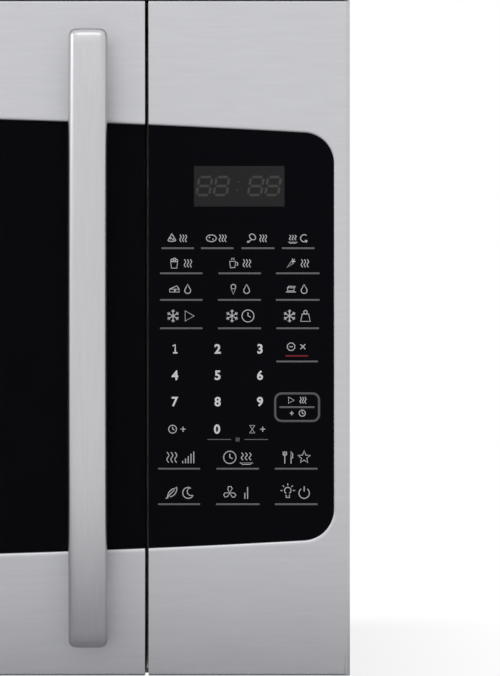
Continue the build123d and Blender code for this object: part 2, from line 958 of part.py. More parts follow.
with BuildPart() as hv_capacitor:
    with BuildSketch(Plane.XY.offset(shelf_top)):
        with Locations(capacitor_place):
            Rectangle(capacitor_width, capacitor_length)
    extrude(amount=capacitor_height)
    chamfer(hv_capacitor.edges().filter_by(Axis.Z), capacitor_corner)
    for side in (-1, 1):
        cx, cy = capacitor_place
        blade_at = cy + side * terminal_spread
        can_top = shelf_top + capacitor_height
        block(
            (cx - terminal_width / 2, cx + terminal_width / 2),
            (blade_at - terminal_sheet / 2, blade_at + terminal_sheet / 2),
            (can_top, can_top + terminal_height),
        )
hv_capacitor.part.label = "hv_capacitor"

with BuildPart() as hv_diode:
    dx, dy = capacitor_place[0] - diode_from_capacitor, capacitor_place[1]
    half = diode_width / 2
    end = dy + diode_length / 2
    block((dx - half, dx + half), (end - diode_length, end), (shelf_top, shelf_top + diode_width))
    # earth tag screwed to the shelf, and the lead down to it
    tag_end = end + diode_tag_length
    block((dx - half - 0.5, dx + half + 0.5), (end, tag_end), (shelf_top, shelf_top + sheet))
    block((dx - 1, dx + 1), (end, end + 1.5), (shelf_top, shelf_top + diode_width - 2))
hv_diode.part.label = "hv_diode"

fan_plate_y = case_back - fan_from_back
fan_x = (cavity_outside + fan_duct_side + bay_right) / 2
fan_z = antenna_z - fan_below_antenna
fan_plate = Rect(
    fan_x - fan_plate_half, fan_x + fan_plate_half, shelf_top, fan_z + fan_plate_half
)
fan_motor_y = fan_plate_y + fan_motor_stand
blade_y = fan_plate_y + fan_blade_from_plate
fan_blade_room = fan_blade_radius + fan_tip_clearance

with BuildPart() as cooling_fan_shroud:
    with BuildSketch(facing(fan_plate_y + fan_plate_sheet)):
        rectangle(fan_plate)
    extrude(amount=fan_plate_sheet)
    with BuildSketch(facing(fan_plate_y + fan_collar)):
        with Locations((fan_x, fan_z)):
            RegularPolygon(fan_blade_room + fan_plate_sheet, 24)
    extrude(amount=fan_collar)
    with BuildSketch(facing(fan_plate_y + fan_collar)):
        with Locations((fan_x, fan_z)):
            RegularPolygon(fan_blade_room, 24)
    extrude(amount=fan_collar, mode=Mode.SUBTRACT)
    # two legs that carry the motor
    for side in (-1, 1):
        leg_x = fan_x + side * fan_leg_spread
        block(
            (leg_x - fan_leg_width / 2, leg_x + fan_leg_width / 2),
            (fan_plate_y + fan_plate_sheet, fan_motor_y),
            (fan_z - fan_bar_height / 2, fan_z + fan_bar_height / 2),
        )
    # cross-bar with the shaft's hole
    block(
        (fan_x - fan_bar_length / 2, fan_x + fan_bar_length / 2),
        (fan_motor_y, fan_motor_y + fan_bar_sheet),
        (fan_z - fan_bar_height / 2, fan_z + fan_bar_height / 2),
    )
    block(
        (fan_x - fan_shaft_room, fan_x + fan_shaft_room),
        (fan_motor_y - 1, fan_motor_y + fan_bar_sheet + 1),
        (fan_z - fan_shaft_room, fan_z + fan_shaft_room),
        Mode.SUBTRACT,
    )
cooling_fan_shroud.part.label = "cooling_fan_shroud"


def pitched_blade(turn):
    """One blade of the cooling fan, turned about the shaft."""
    length = fan_blade_radius - fan_hub_radius + 1
    upright = Plane(
        origin=(fan_x, blade_y + fan_hub_length / 2, fan_z), z_dir=(0, -1, 0)
    )
    with BuildPart(upright) as blade:
        with Locations((fan_blade_radius - 1 - length / 2, 0, 0)):
            Box(length, fan_blade_width, fan_blade_sheet, rotation=(fan_blade_pitch, 0, 0))
    return blade.part.rotate(Axis((fan_x, blade_y, fan_z), (0, 1, 0)), turn)


with BuildPart() as cooling_fan_blade:
    with BuildSketch(facing(blade_y + fan_hub_length)):
        with Locations((fan_x, fan_z)):
            RegularPolygon(fan_hub_radius, 2 * fan_blades)
    extrude(amount=fan_hub_length)
    shaft_end = fan_motor_y + 0.75 * fan_core_depth
    rod((fan_x, blade_y, fan_z), (fan_x, shaft_end, fan_z), fan_shaft_radius)
    for index in range(fan_blades):
        add(pitched_blade(index * 360 / fan_blades))
cooling_fan_blade.part.label = "cooling_fan_blade"

with BuildPart() as cooling_fan_motor:
    stack_y = fan_motor_y + fan_bar_sheet
    # laminated core with its coil below
    block(
        (fan_x - fan_core_half, fan_x + fan_core_half),
        (stack_y, stack_y + fan_core_depth),
        (fan_z + fan_core_span[0], fan_z + fan_core_span[1]),
    )
    block(
        (fan_x - fan_coil_half, fan_x + fan_coil_half),
        (stack_y - 1.5, stack_y - 1.5 + fan_coil_depth),
        (fan_z + fan_coil_span[0], fan_z + fan_coil_span[1]),
    )
    rod(
        (fan_x, stack_y - 1, fan_z),
        (fan_x, stack_y + fan_core_depth + 1, fan_z),
        fan_shaft_radius + running_fit,
        Mode.SUBTRACT,
    )
cooling_fan_motor.part.label = "cooling_fan_motor"

with BuildPart() as noise_filter_board:
    face_x = cavity_outside + noise_board_stand
    board_front = flange_y + noise_board_from_front
    board_high = cavity.high - noise_board_below_ceiling
    board = Rect(
        board_front,
        board_front + noise_board_length,
        board_high - noise_board_height,
        board_high,
    )
    part_face = face_x + board_sheet
    block((face_x, part_face), (board.left, board.right), (board.low, board.high))
    # four stand-offs against the oven wall
    stands = grow(board, -noise_stand_inset)
    for stand_y in (stands.left, stands.right):
        for stand_z in (stands.low, stands.high):
            block(
                (cavity_outside, face_x),
                (stand_y - noise_stand_half, stand_y + noise_stand_half),
                (stand_z - noise_stand_half, stand_z + noise_stand_half),
            )
    for height, (left, right), (low, high) in noise_parts:
        block(
            (part_face, part_face + height),
            (board.left + left, board.left + right),
            (board.low + low, board.low + high),
        )
noise_filter_board.part.label = "noise_filter_board"

with BuildPart() as cavity_lamp:
    block(
        (cavity_outside, cavity_outside + lamp_holder_length),
        (lamp_y - lamp_holder_half, lamp_y + lamp_holder_half),
        (lamp_z - lamp_holder_half, lamp_z + lamp_holder_half),
    )
    offset(amount=-lamp_holder_wall, openings=cavity_lamp.faces().sort_by(Axis.X)[0])
    # bulb, on the holder's far wall
    with BuildSketch(from_right(cavity_outside + cavity_bulb_back)):
        with Locations((lamp_y, lamp_z)):
            RegularPolygon(cavity_bulb_radius, 8)
    extrude(amount=lamp_holder_length - cavity_bulb_back - 1)
cavity_lamp.part.label = "cavity_lamp"

# ---------------------------------------------------------------- latch side
board_x = (latch_x - latch_board_left, latch_x + latch_board_right)
pocket_depth = hook_reach + latch_board_behind
board_z = (latch_low - latch_board_below, latch_high + latch_board_above)
switch_back = board_face + pocket_depth

with BuildPart() as latch_board:
    block(board_x, (board_face, board_face + pocket_depth), board_z)
    inner_half = latch_key_thickness / 2 + hook_clearance
    for height in latch_places:
        # the way in, above the sill that the barb drops behind
        block(
            (latch_x - inner_half, latch_x + inner_half),
            (board_face - 1, board_face + pocket_depth + 1),
            (height, height + hook_height + latch_travel + hook_clearance),
            Mode.SUBTRACT,
        )
        block(
            (latch_x - inner_half, latch_x + inner_half),
            (board_face + sill_depth, board_face + pocket_depth + 1),
            (height - hook_barb - hook_clearance, height + 1),
            Mode.SUBTRACT,
        )
    # weight saved between and beside the pockets
    for low, high in (
        (latch_low + 30, latch_high - 18),
        (latch_high + 24, board_z[1] - moulding),
    ):
        block(
            (board_x[0] + moulding, board_x[1] - moulding),
            (board_face + moulding, board_face + pocket_depth + 1),
            (low, high),
            Mode.SUBTRACT,
        )
latch_board.part.label = "latch_board"

switch_places = (latch_low - switch_drop, latch_high - switch_drop)


def plunger(near, far, switch_low, clearance=0.0, mode=Mode.ADD):
    """Adds or cuts a square plunger, level with the hook that presses it."""
    half = plunger_half + clearance
    height = switch_low + plunger_rise
    block(
        (latch_x - half, latch_x + half),
        (near, far),
        (height - half, height + half),
        mode,
    )


with BuildPart() as interlock_switches:
    for height in switch_places:
        block(
            (latch_x - switch_width / 2, latch_x + switch_width / 2),
            (switch_back + plunger_length - 1, switch_back + plunger_length + switch_depth),
            (height, height + switch_height),
        )
        # cheeks that clip the switch to the latch board
        for side in (-1, 1):
            cheek = latch_x + side * (switch_width + switch_cheek) / 2
            block(
                (cheek - switch_cheek / 2, cheek + switch_cheek / 2),
                (switch_back, switch_back + plunger_length + switch_depth),
                (height, height + switch_height),
            )
        plunger(
            switch_back, switch_back + plunger_length + 8, height, running_fit, Mode.SUBTRACT
        )
interlock_switches.part.label = "interlock_switches"

with BuildPart() as switch_plungers:
    for height in switch_places:
        plunger(
            flange_y + hook_reach + fit, switch_back + plunger_length + 6, height
        )
switch_plungers.part.label = "switch_plungers"

# ---------------------------------------------------------------- control panel
with BuildPart() as control_skin:
    add(steel_face(panel_outline, 0))
control_skin.part.label = "control_skin"

display_left = half_front - display_from_right
display_low = panel_top - display_below_top
display_outline = Rect(
    display_left, display_left + display_width, display_low, display_low + display_height
)
chassis_outline = Rect(
    panel_outline.left,
    panel_outline.right - sheet - 0.1,
    panel_outline.low + sheet + 0.1,
    panel_outline.high - sheet - 0.1,
)
chassis_back = flange_y
board_plane = overlay_back + board_from_overlay
module_depth = board_from_overlay - moulding
touch_tail = Rect(
    panel_outline.left + 40,
    panel_outline.left + 52,
    front_foot + touch_tail_rise,
    front_foot + touch_tail_rise + 4,
)
control_board_outline = Rect(
    panel_outline.left + control_board_side,
    panel_outline.right - control_board_side,
    panel_top - control_board_below_top - control_board_height,
    panel_top - control_board_below_top,
)

with BuildPart() as keypad_overlay:
    with BuildSketch(facing(overlay_back)):
        add(lens_face(lens_overlap))
        rectangle(
            Rect(
                panel_outline.left,
                panel_outline.right - sheet - 0.5,
                front_foot + skin_bend,
                panel_top - skin_bend,
            ),
            mode=Mode.INTERSECT,
        )
        rectangle(grow(display_outline, display_fit), mode=Mode.SUBTRACT)
    extrude(amount=overlay_sheet)
keypad_overlay.part.label = "keypad_overlay"

with BuildPart() as display_window:
    with BuildSketch(facing(overlay_back)):
        rectangle(display_outline)
    extrude(amount=overlay_sheet)
display_window.part.label = "display_window"

with BuildPart() as control_chassis:
    with BuildSketch(facing(chassis_back)):
        rectangle(chassis_outline)
    extrude(amount=chassis_back - overlay_back)
    fillet(
        control_chassis.faces().sort_by(Axis.Y)[0].edges().sort_by(Axis.X)[1:],
        skin_bend - sheet,
    )
    offset(amount=-moulding, openings=control_chassis.faces().sort_by(Axis.Y)[-1])
    # windows for the display module and the touch pads' tail
    with BuildSketch(facing(overlay_back)):
        rectangle(grow(display_outline, -2))
        rectangle(touch_tail)
    extrude(amount=-2 * moulding, mode=Mode.SUBTRACT)
    # posts for the control board
    posts = grow(control_board_outline, -3 * chassis_post_half)
    for post_x in (posts.left, posts.right):
        for post_z in (posts.low, posts.high):
            block(
                (post_x - chassis_post_half, post_x + chassis_post_half),
                (overlay_back + 1, board_plane),
                (post_z - chassis_post_half, post_z + chassis_post_half),
            )
    # stiffening ribs across the inside of the front wall
    for rise in chassis_rib_heights:
        block(
            (panel_outline.left + 1, panel_outline.right - sheet - 1),
            (overlay_back + 1, overlay_back + moulding + chassis_rib_depth),
            (front_foot + rise, front_foot + rise + 2),
        )
control_chassis.part.label = "control_chassis"

with BuildPart() as control_board:
    outline = control_board_outline
    back = board_plane + board_sheet
    block((outline.left, outline.right), (board_plane, back), (outline.low, outline.high))
    # board transformer, buzzer and three relays: reach behind the board, span, rise
    for reach, (left, right), (low, high) in (
        (14, (10, 42), (160, 196)),
        (8, (66, 78), (124, 136)),
        (12, (14, 34), (30, 48)),
        (12, (14, 34), (58, 76)),
        (12, (14, 34), (86, 104)),
    ):
        block(
            (outline.left + left, outline.left + right),
            (back, back + reach),
            (outline.low + low, outline.low + high),
        )
control_board.part.label = "control_board"

with BuildPart() as display_module:
    block(
        (display_outline.left - 4, display_outline.right + 4),
        (board_plane - module_depth, board_plane),
        (display_outline.low - 4, display_outline.high + 4),
    )
display_module.part.label = "display_module"

# ---------------------------------------------------------------- door
handle_x = door_outline.right - handle_from_door_edge
handle_low = door_outline.low + handle_end_margin
handle_high = door_outline.high - handle_end_margin
handle_posts = [
    (handle_x, handle_low + handle_post_from_end),
    (handle_x, handle_high - handle_post_from_end),
]

with BuildPart() as door_skin:
    add(steel_face(door_outline, -1))
door_skin.part.label = "door_skin"

surround_outline = Rect(
    door_outline.left + sheet + 0.1,
    door_outline.right,
    door_outline.low + sheet + 0.1,
    door_outline.high - sheet - 0.1,
)
window = Rect(
    door_outline.left + window_left_border,
    door_outline.right - window_right_border,
    door_outline.low + window_low_border,
    door_outline.high - window_high_border,
)
glass_back = overlay_front + door_glass_thickness

with BuildPart() as door_glass:
    with BuildSketch(facing(glass_back)):
        add(lens_face(lens_overlap))
        rectangle(
            Rect(
                door_outline.left + sheet + 0.5,
                door_outline.right,
                front_foot + skin_bend,
                panel_top - skin_bend,
            ),
            mode=Mode.INTERSECT,
        )
    extrude(amount=door_glass_thickness)
door_glass.part.label = "door_glass"

with BuildPart() as door_surround:
    rounded_block(
        (surround_outline.left, surround_outline.right),
        (glass_back, door_back),
        (surround_outline.low, surround_outline.high),
        surround_corner,
        corners=1,
    )
    inside = grow(surround_outline, -moulding)
    block(
        (inside.left, inside.right),
        (glass_back + moulding, door_back + 1),
        (inside.low, inside.high),
        Mode.SUBTRACT,
    )
    # window, and the pockets that the hinge arms turn in
    with BuildSketch(facing(glass_back)):
        rectangle(grow(window, 4))
    extrude(amount=-2 * moulding, mode=Mode.SUBTRACT)
    for arm_z in (lower_arm_z, upper_arm_z):
        block(
            (door_outline.left, hinge_x),
            (hinge_y - hinge_inset_x - 1, door_back + 1),
            (arm_z - hinge_arm_thickness, arm_z + hinge_arm_thickness),
            Mode.SUBTRACT,
        )
door_surround.part.label = "door_surround"

frame_outline = Rect(
    surround_outline.left + moulding + fit,
    surround_outline.right - moulding - fit,
    door_outline.low + door_frame_margin,
    door_outline.high - door_frame_margin,
)
choke_inner = grow(cavity, choke_start)
choke_outer = Rect(
    max(choke_inner.left - choke_width, hinge_x + bush_half + 4),
    choke_inner.right + choke_width,
    choke_inner.low - choke_width,
    choke_inner.high + choke_width,
)
bush_places = (
    (frame_outline.low, 1),
    (frame_outline.high, -1),
)  # height and inward direction

key_back = door_back - sheet - fit
key_front = key_back - latch_key_width
key_top = latch_high + hook_height + latch_key_end
spring_top = key_top + spring_room

with BuildPart() as door_frame:
    # each ring: outer edge, inner edge, and the depths that it spans
    rings = (
        (frame_outline, choke_outer, door_back - sheet, door_back),
        (frame_outline, grow(frame_outline, -sheet), door_back - frame_return, door_back),
        (choke_outer, grow(choke_outer, -sheet), door_back - choke_depth, door_back),
        (choke_outer, choke_inner, door_back - choke_depth, door_back - choke_depth + sheet),
        (grow(choke_inner, sheet), choke_inner, door_back - choke_depth, door_back),
        (grow(choke_inner, sheet), window, door_back - sheet, door_back),
    )
    for outer, inner, near, far in rings:
        with BuildSketch(facing(far)):
            rectangle(outer)
            rectangle(inner, mode=Mode.SUBTRACT)
        extrude(amount=far - near)
    # slots for the latch hooks
    with BuildSketch(facing(door_back)):
        for height in latch_places:
            half = latch_key_thickness / 2 + fit
            rectangle(
                Rect(
                    latch_x - half,
                    latch_x + half,
                    height - hook_barb - fit,
                    height + hook_height + latch_travel + fit,
                )
            )
    extrude(amount=2 * sheet, mode=Mode.SUBTRACT)
    # the bushes' holes
    for height, inward in bush_places:
        hole = bush_half + running_fit
        block(
            (hinge_x - hole, hinge_x + hole),
            (hinge_y - hole, hinge_y + hole),
            sorted((height - inward, height + 2 * inward * sheet)),
            Mode.SUBTRACT,
        )
    # tab that the latch spring pushes against
    block(
        (latch_x - 6, latch_x + 6),
        (door_back - 16, door_back - sheet / 2),
        (spring_top, spring_top + sheet),
    )
door_frame.part.label = "door_frame"

with BuildPart() as door_screen:
    with BuildSketch(facing(door_back - sheet)):
        rectangle(grow(window, 8))
    extrude(amount=screen_sheet)
door_screen.part.label = "door_screen"

with BuildPart() as choke_cover:
    with BuildSketch(facing(door_back)):
        rectangle(grow(choke_outer, -sheet - 0.2))
        rectangle(grow(choke_inner, sheet), mode=Mode.SUBTRACT)
    extrude(amount=choke_cover_thickness)
choke_cover.part.label = "choke_cover"

with BuildPart() as hinge_bushes:
    for height, inward in bush_places:
        inner_end = height + inward * bush_length
        block(
            (hinge_x - bush_half, hinge_x + bush_half),
            (hinge_y - bush_half, hinge_y + bush_half),
            sorted((height, inner_end)),
        )
        rod(
            (hinge_x, hinge_y, height - inward),
            (hinge_x, hinge_y, inner_end + inward),
            hinge_pin_radius + running_fit,
            Mode.SUBTRACT,
        )
hinge_bushes.part.label = "hinge_bushes"


def hinge_bracket(arm_z, inward):
    """Adds an arm through the front plate, its leg behind the plate and its pin."""
    half = hinge_arm_thickness / 2
    leg_back = board_face + hinge_arm_thickness
    with BuildSketch(Plane.XY.offset(arm_z - half)) as arm:
        rectangle(
            Rect(
                hinge_x - hinge_arm_half_width,
                hinge_x + hinge_arm_half_width,
                hinge_y - hinge_arm_half_width,
                leg_back,
            )
        )
        chamfer(arm.vertices().group_by(Axis.Y)[0], hinge_arm_half_width / 2)
    extrude(arm.sketch, amount=hinge_arm_thickness)
    block(
        (hinge_x - hinge_arm_half_width, hinge_x + hinge_arm_half_width),
        (board_face, leg_back),
        sorted((arm_z - inward * half, arm_z + inward * hinge_leg_height)),
    )
    rod(
        (hinge_x, hinge_y, arm_z),
        (hinge_x, hinge_y, arm_z + inward * (half + hinge_pin_length)),
        hinge_pin_radius,
    )


with BuildPart() as hinge_upper:
    hinge_bracket(upper_arm_z, -1)
hinge_upper.part.label = "hinge_upper"

with BuildPart() as hinge_lower:
    hinge_bracket(lower_arm_z, 1)
hinge_lower.part.label = "hinge_lower"

barb_y = board_face + sill_depth + latch_play
hook_tip = flange_y + hook_reach

with BuildPart() as latch_key:
    block(
        (latch_x - latch_key_thickness / 2, latch_x + latch_key_thickness / 2),
        (key_front, key_back),
        (latch_low - latch_key_end, key_top),
    )
    for height in latch_places:
        with BuildSketch(from_right(latch_x - latch_key_thickness / 2)):
            with BuildLine():
                Polyline(
                    (key_back - 1, height),
                    (barb_y, height),
                    (barb_y, height - hook_barb),
                    (barb_y + 2, height - hook_barb),
                    (hook_tip, height + 2),
                    (hook_tip, height + hook_height),
                    (key_back - 1, height + hook_height),
                    close=True,
                )
            make_face()
        extrude(amount=latch_key_thickness)
latch_key.part.label = "latch_key"

with BuildPart() as latch_spring:
    spring_ends = (key_front + 3, key_back - 3)
    spring_left = latch_x - spring_width / 2
    lift = spring_strip / 2
    climb = (spring_room - 2 * lift) / spring_folds
    with BuildSketch(from_right(spring_left)):
        with BuildLine():
            Polyline(
                *[
                    (spring_ends[index % 2], key_top + lift + climb * index)
                    for index in range(spring_folds + 1)
                ]
            )
        trace(line_width=spring_strip)
    extrude(amount=spring_width)
    # level ends, against the key and the frame's tab
    for low in (key_top, spring_top - spring_strip):
        block(
            (spring_left, spring_left + spring_width),
            (spring_ends[0] - 2, spring_ends[0] + 6),
            (low, low + spring_strip),
        )
latch_spring.part.label = "latch_spring"

with BuildPart() as door_handle:
    end_front = door_front - handle_reach + handle_bow
    end_back = end_front + handle_bar_depth
    middle = (handle_low + handle_high) / 2
    with BuildSketch(from_right(handle_x - handle_bar_width / 2)):
        with BuildLine():
            ThreePointArc(
                (end_front, handle_low),
                (end_front - handle_bow, middle),
                (end_front, handle_high),
            )
            Line((end_front, handle_high), (end_back, handle_high))
            ThreePointArc(
                (end_back, handle_high),
                (end_back - handle_bow, middle),
                (end_back, handle_low),
            )
            Line((end_back, handle_low), (end_front, handle_low))
        make_face()
    extrude(amount=handle_bar_width)
    curved = door_handle.faces().filter_by(GeomType.CYLINDER).sort_by(Axis.Y)
    fillet(curved[0].edges().sort_by(Edge.length)[-2:], 5.5)
    for x, z in handle_posts:
        block(
            (x - handle_post_half, x + handle_post_half),
            (end_back - handle_bow / 2, door_front),
            (z - handle_post_half, z + handle_post_half),
        )
door_handle.part.label = "door_handle"

# ---------------------------------------------------------------- turntable
cavity_span = min(cavity.right - cavity.left, cavity_depth)
tray_radius = cavity_span / 2 - tray_clearance
roller_z = cavity.low + roller_lift + roller_radius
ring_outer = roller_circle - roller_width / 2 - 1
tray_under = roller_z + roller_radius + roller_lift
coupler_low = cavity.low + 3


def radial_point(radius, index):
    """Point at the height of the rollers' pins, on the spoke of one of three rollers."""
    angle = math.radians(90 + 120 * index)
    return (
        tray_centre[0] + radius * math.cos(angle),
        tray_centre[1] + radius * math.sin(angle),
        roller_z,
    )


with BuildPart() as turntable_motor:
    motor_top = cavity.low - sheet
    motor_low = motor_top - tray_motor_height
    block(
        (tray_centre[0] - tray_motor_half, tray_centre[0] + tray_motor_half),
        (tray_centre[1] - tray_motor_half, tray_centre[1] + tray_motor_half),
        (motor_low, motor_top),
    )
    chamfer(turntable_motor.edges().filter_by(Axis.Z), tray_motor_corner)
    rod(
        (*tray_centre, motor_top - motor_socket),
        (*tray_centre, motor_top + 1),
        coupler_stem_radius + running_fit,
        Mode.SUBTRACT,
    )
    # fixing ears
    for side in (-1, 1):
        ear_x = sorted(
            tray_centre[0] + side * reach
            for reach in (tray_motor_half - 2, tray_motor_half + 9)
        )
        block(
            ear_x, (tray_centre[1] - 5, tray_centre[1] + 5), (motor_top - 1.5, motor_top)
        )
turntable_motor.part.label = "turntable_motor"

with BuildPart() as tray_coupler:
    stem_low = cavity.low - sheet - motor_socket + 2
    rod((*tray_centre, stem_low), (*tray_centre, tray_under), coupler_stem_radius)
    with BuildSketch(Plane.XY.offset(coupler_low)):
        with Locations(tray_centre):
            with PolarLocations(coupler_radius / 2, 3, start_angle=90):
                Rectangle(coupler_radius, coupler_lobe_width)
    extrude(amount=tray_under - coupler_low)
tray_coupler.part.label = "tray_coupler"

with BuildPart() as glass_tray:
    rim_start = tray_radius - tray_rim_run
    rim_top = tray_under + tray_rim_height
    with BuildSketch(Plane(origin=(*tray_centre, 0), x_dir=(1, 0, 0), z_dir=(0, -1, 0))):
        with BuildLine():
            Polyline(
                (0, tray_under),
                (rim_start, tray_under),
                (tray_radius, rim_top),
                (tray_radius - tray_thickness, rim_top),
                (rim_start - 1, tray_under + tray_thickness),
                (0, tray_under + tray_thickness),
                close=True,
            )
        make_face()
    revolve(axis=Axis((*tray_centre, 0), (0, 0, 1)))
glass_tray.part.label = "glass_tray"

with BuildPart() as roller_ring:
    with BuildSketch(Plane.XY.offset(roller_z - ring_thickness / 2)):
        with Locations(tray_centre):
            RegularPolygon(hub_radius, hub_sides)
            with PolarLocations(ring_outer / 2, 3, start_angle=90):
                Rectangle(ring_outer, ring_width)
            RegularPolygon(hub_radius - ring_width, hub_sides, mode=Mode.SUBTRACT)
    extrude(amount=ring_thickness)
    for index in range(3):
        twelve_sided_rod(
            radial_point(ring_outer - 3, index),
            radial_point(roller_circle + roller_width / 2 + 2, index),
            roller_pin_radius,
        )
roller_ring.part.label = "roller_ring"


def roller(index):
    """One wheel of the ring, bored for its pin."""
    near = roller_circle - roller_width / 2
    far = roller_circle + roller_width / 2
    with BuildPart() as wheel:
        rod(radial_point(near, index), radial_point(far, index), roller_radius)
        twelve_sided_rod(
            radial_point(near - 1, index),
            radial_point(far + 1, index),
            (roller_pin_radius + running_fit) / math.cos(math.radians(15)),
            Mode.SUBTRACT,
        )
    return wheel.part


with BuildPart() as roller_1:
    add(roller(0))
roller_1.part.label = "roller_1"

with BuildPart() as roller_2:
    add(roller(1))
roller_2.part.label = "roller_2"

with BuildPart() as roller_3:
    add(roller(2))
roller_3.part.label = "roller_3"


# ---------------------------------------------------------------- underside pieces
def grease_filter(side):
    """A framed mesh that drops out of the bottom pan."""
    outline = grow(filter_outline(side), -0.8)
    low = filter_recess
    with BuildPart() as panel:
        with BuildSketch(Plane.XY.offset(low)):
            rectangle(outline)
            rectangle(grow(outline, -filter_rim), mode=Mode.SUBTRACT)
        extrude(amount=filter_thickness)
        with BuildSketch(Plane.XY.offset(low + 1.5)):
            rectangle(grow(outline, 1 - filter_rim))
        extrude(amount=filter_thickness - 3)
        # pull tab at the front of the mesh
        centre = (outline.left + outline.right) / 2
        block(
            (centre - 9, centre + 9),
            (outline.low + filter_rim - 1, outline.low + filter_rim + 9),
            (low, low + 0.8),
        )
    return panel.part


with BuildPart() as grease_filter_left:
    add(grease_filter(-1))
grease_filter_left.part.label = "grease_filter_left"

with BuildPart() as grease_filter_right:
    add(grease_filter(1))
grease_filter_right.part.label = "grease_filter_right"


def lamp_cover(side):
    """A clear cover with its hinge barrel and pins along the rear edge."""
    outline = grow(lamp_outline(side), -cover_edge)
    with BuildPart() as cover:
        block(
            (outline.left, outline.right),
            (outline.low, cover_axis_y),
            (filter_recess, filter_recess + lamp_cover_thickness),
        )
        block(
            (outline.left, outline.right),
            (cover_axis_y - cover_knuckle, cover_axis_y + cover_knuckle),
            (cover_axis_z - cover_knuckle, cover_axis_z + cover_knuckle),
        )
        rod(
            (outline.left - ear_thickness, cover_axis_y, cover_axis_z),
            (outline.right + ear_thickness, cover_axis_y, cover_axis_z),
            cover_pin_radius,
        )
    return cover.part


with BuildPart() as lamp_cover_left:
    add(lamp_cover(-1))
lamp_cover_left.part.label = "lamp_cover_left"

with BuildPart() as lamp_cover_right:
    add(lamp_cover(1))
lamp_cover_right.part.label = "lamp_cover_right"

with BuildPart() as cooktop_lamps:
    bulb_z = cooktop_bulb_height
    for side in (-1, 1):
        lamp = lamp_outline(side)
        bulb_y = (lamp.low + lamp.high) / 2
        wall = (lamp.right if side > 0 else lamp.left) + side * lamp_bracket_gap
        across = (bulb_y - lamp_bracket_half, bulb_y + lamp_bracket_half)
        # bracket and its foot on the bottom pan
        block(
            sorted((wall, wall + side * lamp_bracket_sheet)),
            across,
            (sheet, lamp_bracket_height),
        )
        block(
            sorted((wall, wall + side * lamp_bracket_foot)),
            across,
            (sheet, sheet + 0.75 * lamp_bracket_sheet),
        )
        # socket and bulb, towards the middle
        socket_end = wall - side * cooktop_socket_length
        block(
            sorted((wall, socket_end)),
            (bulb_y - cooktop_socket_half, bulb_y + cooktop_socket_half),
            (bulb_z - cooktop_socket_half, bulb_z + cooktop_socket_half),
        )
        twelve_sided_rod(
            (socket_end, bulb_y, bulb_z),
            (socket_end - side * cooktop_bulb_length, bulb_y, bulb_z),
            cooktop_bulb_radius,
        )
cooktop_lamps.part.label = "cooktop_lamps"

# ---------------------------------------------------------------- vent grille and filter
louvre_window = Rect(
    grille_outline.left + grille_border,
    grille_outline.right - grille_border,
    grille_outline.low + grille_low_border,
    grille_outline.high - grille_high_border,
)

with BuildPart() as vent_grille:
    with BuildSketch(facing(flange_y)):
        rectangle(grille_outline)
    extrude(amount=flange_y - door_front)
    front_edges = vent_grille.faces().sort_by(Axis.Y)[0].edges()
    fillet(front_edges.filter_by(Axis.X), 2.5)
    offset(amount=-grille_wall, openings=vent_grille.faces().sort_by(Axis.Y)[-1])
    with BuildSketch(facing(door_front)):
        rectangle(louvre_window)
    extrude(amount=-2 * grille_wall, mode=Mode.SUBTRACT)
    # slanted slats, low at the back so that the eye doesn't see through
    slat_front = door_front + 0.8
    slat_pitch = (louvre_window.high - louvre_window.low) / grille_slats
    for index in range(grille_slats):
        slat_z = louvre_window.low + slat_pitch * (index + 0.5)
        with BuildSketch(from_right(louvre_window.left - 1)):
            with BuildLine():
                Polyline(
                    (slat_front, slat_z + slat_pitch / 3),
                    (slat_front, slat_z + slat_pitch / 3 - grille_slat_sheet),
                    (slat_front + grille_slat_depth, slat_z - slat_pitch / 3),
                    (slat_front + grille_slat_depth, slat_z - slat_pitch / 3 + grille_slat_sheet),
                    close=True,
                )
            make_face()
        extrude(amount=louvre_window.right - louvre_window.left + 2)
    # ribs behind the slats
    rib_pitch = (louvre_window.right - louvre_window.left) / (grille_ribs + 1)
    for index in range(grille_ribs):
        rib_x = louvre_window.left + rib_pitch * (index + 1)
        block(
            (rib_x - 0.9, rib_x + 0.9),
            (slat_front + 1, slat_front + grille_slat_depth + 2),
            (louvre_window.low - 1, louvre_window.high + 1),
        )
    # end ribs that carry the slats' ends
    for rib_x in (louvre_window.left - 0.9, louvre_window.right + 0.9):
        block(
            (rib_x - 0.9, rib_x + 0.9),
            (door_front + 1, slat_front + grille_slat_depth + 2),
            (louvre_window.low - 1, louvre_window.high + 1),
        )
vent_grille.part.label = "vent_grille"

charcoal_front = flange_y + 8
charcoal_outline = Rect(
    -charcoal_length / 2, charcoal_length / 2, cavity_roof + fit, body_height - 4
)

with BuildPart() as charcoal_filter:
    with BuildSketch(facing(charcoal_front + charcoal_thickness)):
        rectangle(charcoal_outline)
        rectangle(grow(charcoal_outline, -8), mode=Mode.SUBTRACT)
    extrude(amount=charcoal_thickness)
    with BuildSketch(facing(charcoal_front + charcoal_thickness - 2)):
        rectangle(grow(charcoal_outline, -7))
    extrude(amount=charcoal_thickness - 4)
charcoal_filter.part.label = "charcoal_filter"

# ---------------------------------------------------------------- blower
blower_y = case_back - blower_from_back
blower_height = cavity_roof + blower_rise
outlet_rise = body_height - sheet - fit - blower_height
scroll_starts = (-scroll_gap / 2 - scroll_length, scroll_gap / 2)


def volute_point(angle, inset=0.0):
    """Point of the scroll's wall, angle degrees on from the outlet's rear wall."""
    growth = (scroll_end_radius - scroll_start_radius) / scroll_sweep
    radius = scroll_end_radius - growth * angle - inset
    turn = math.radians(angle)
    return (
        blower_y + radius * math.cos(turn),
        blower_height - radius * math.sin(turn),
    )


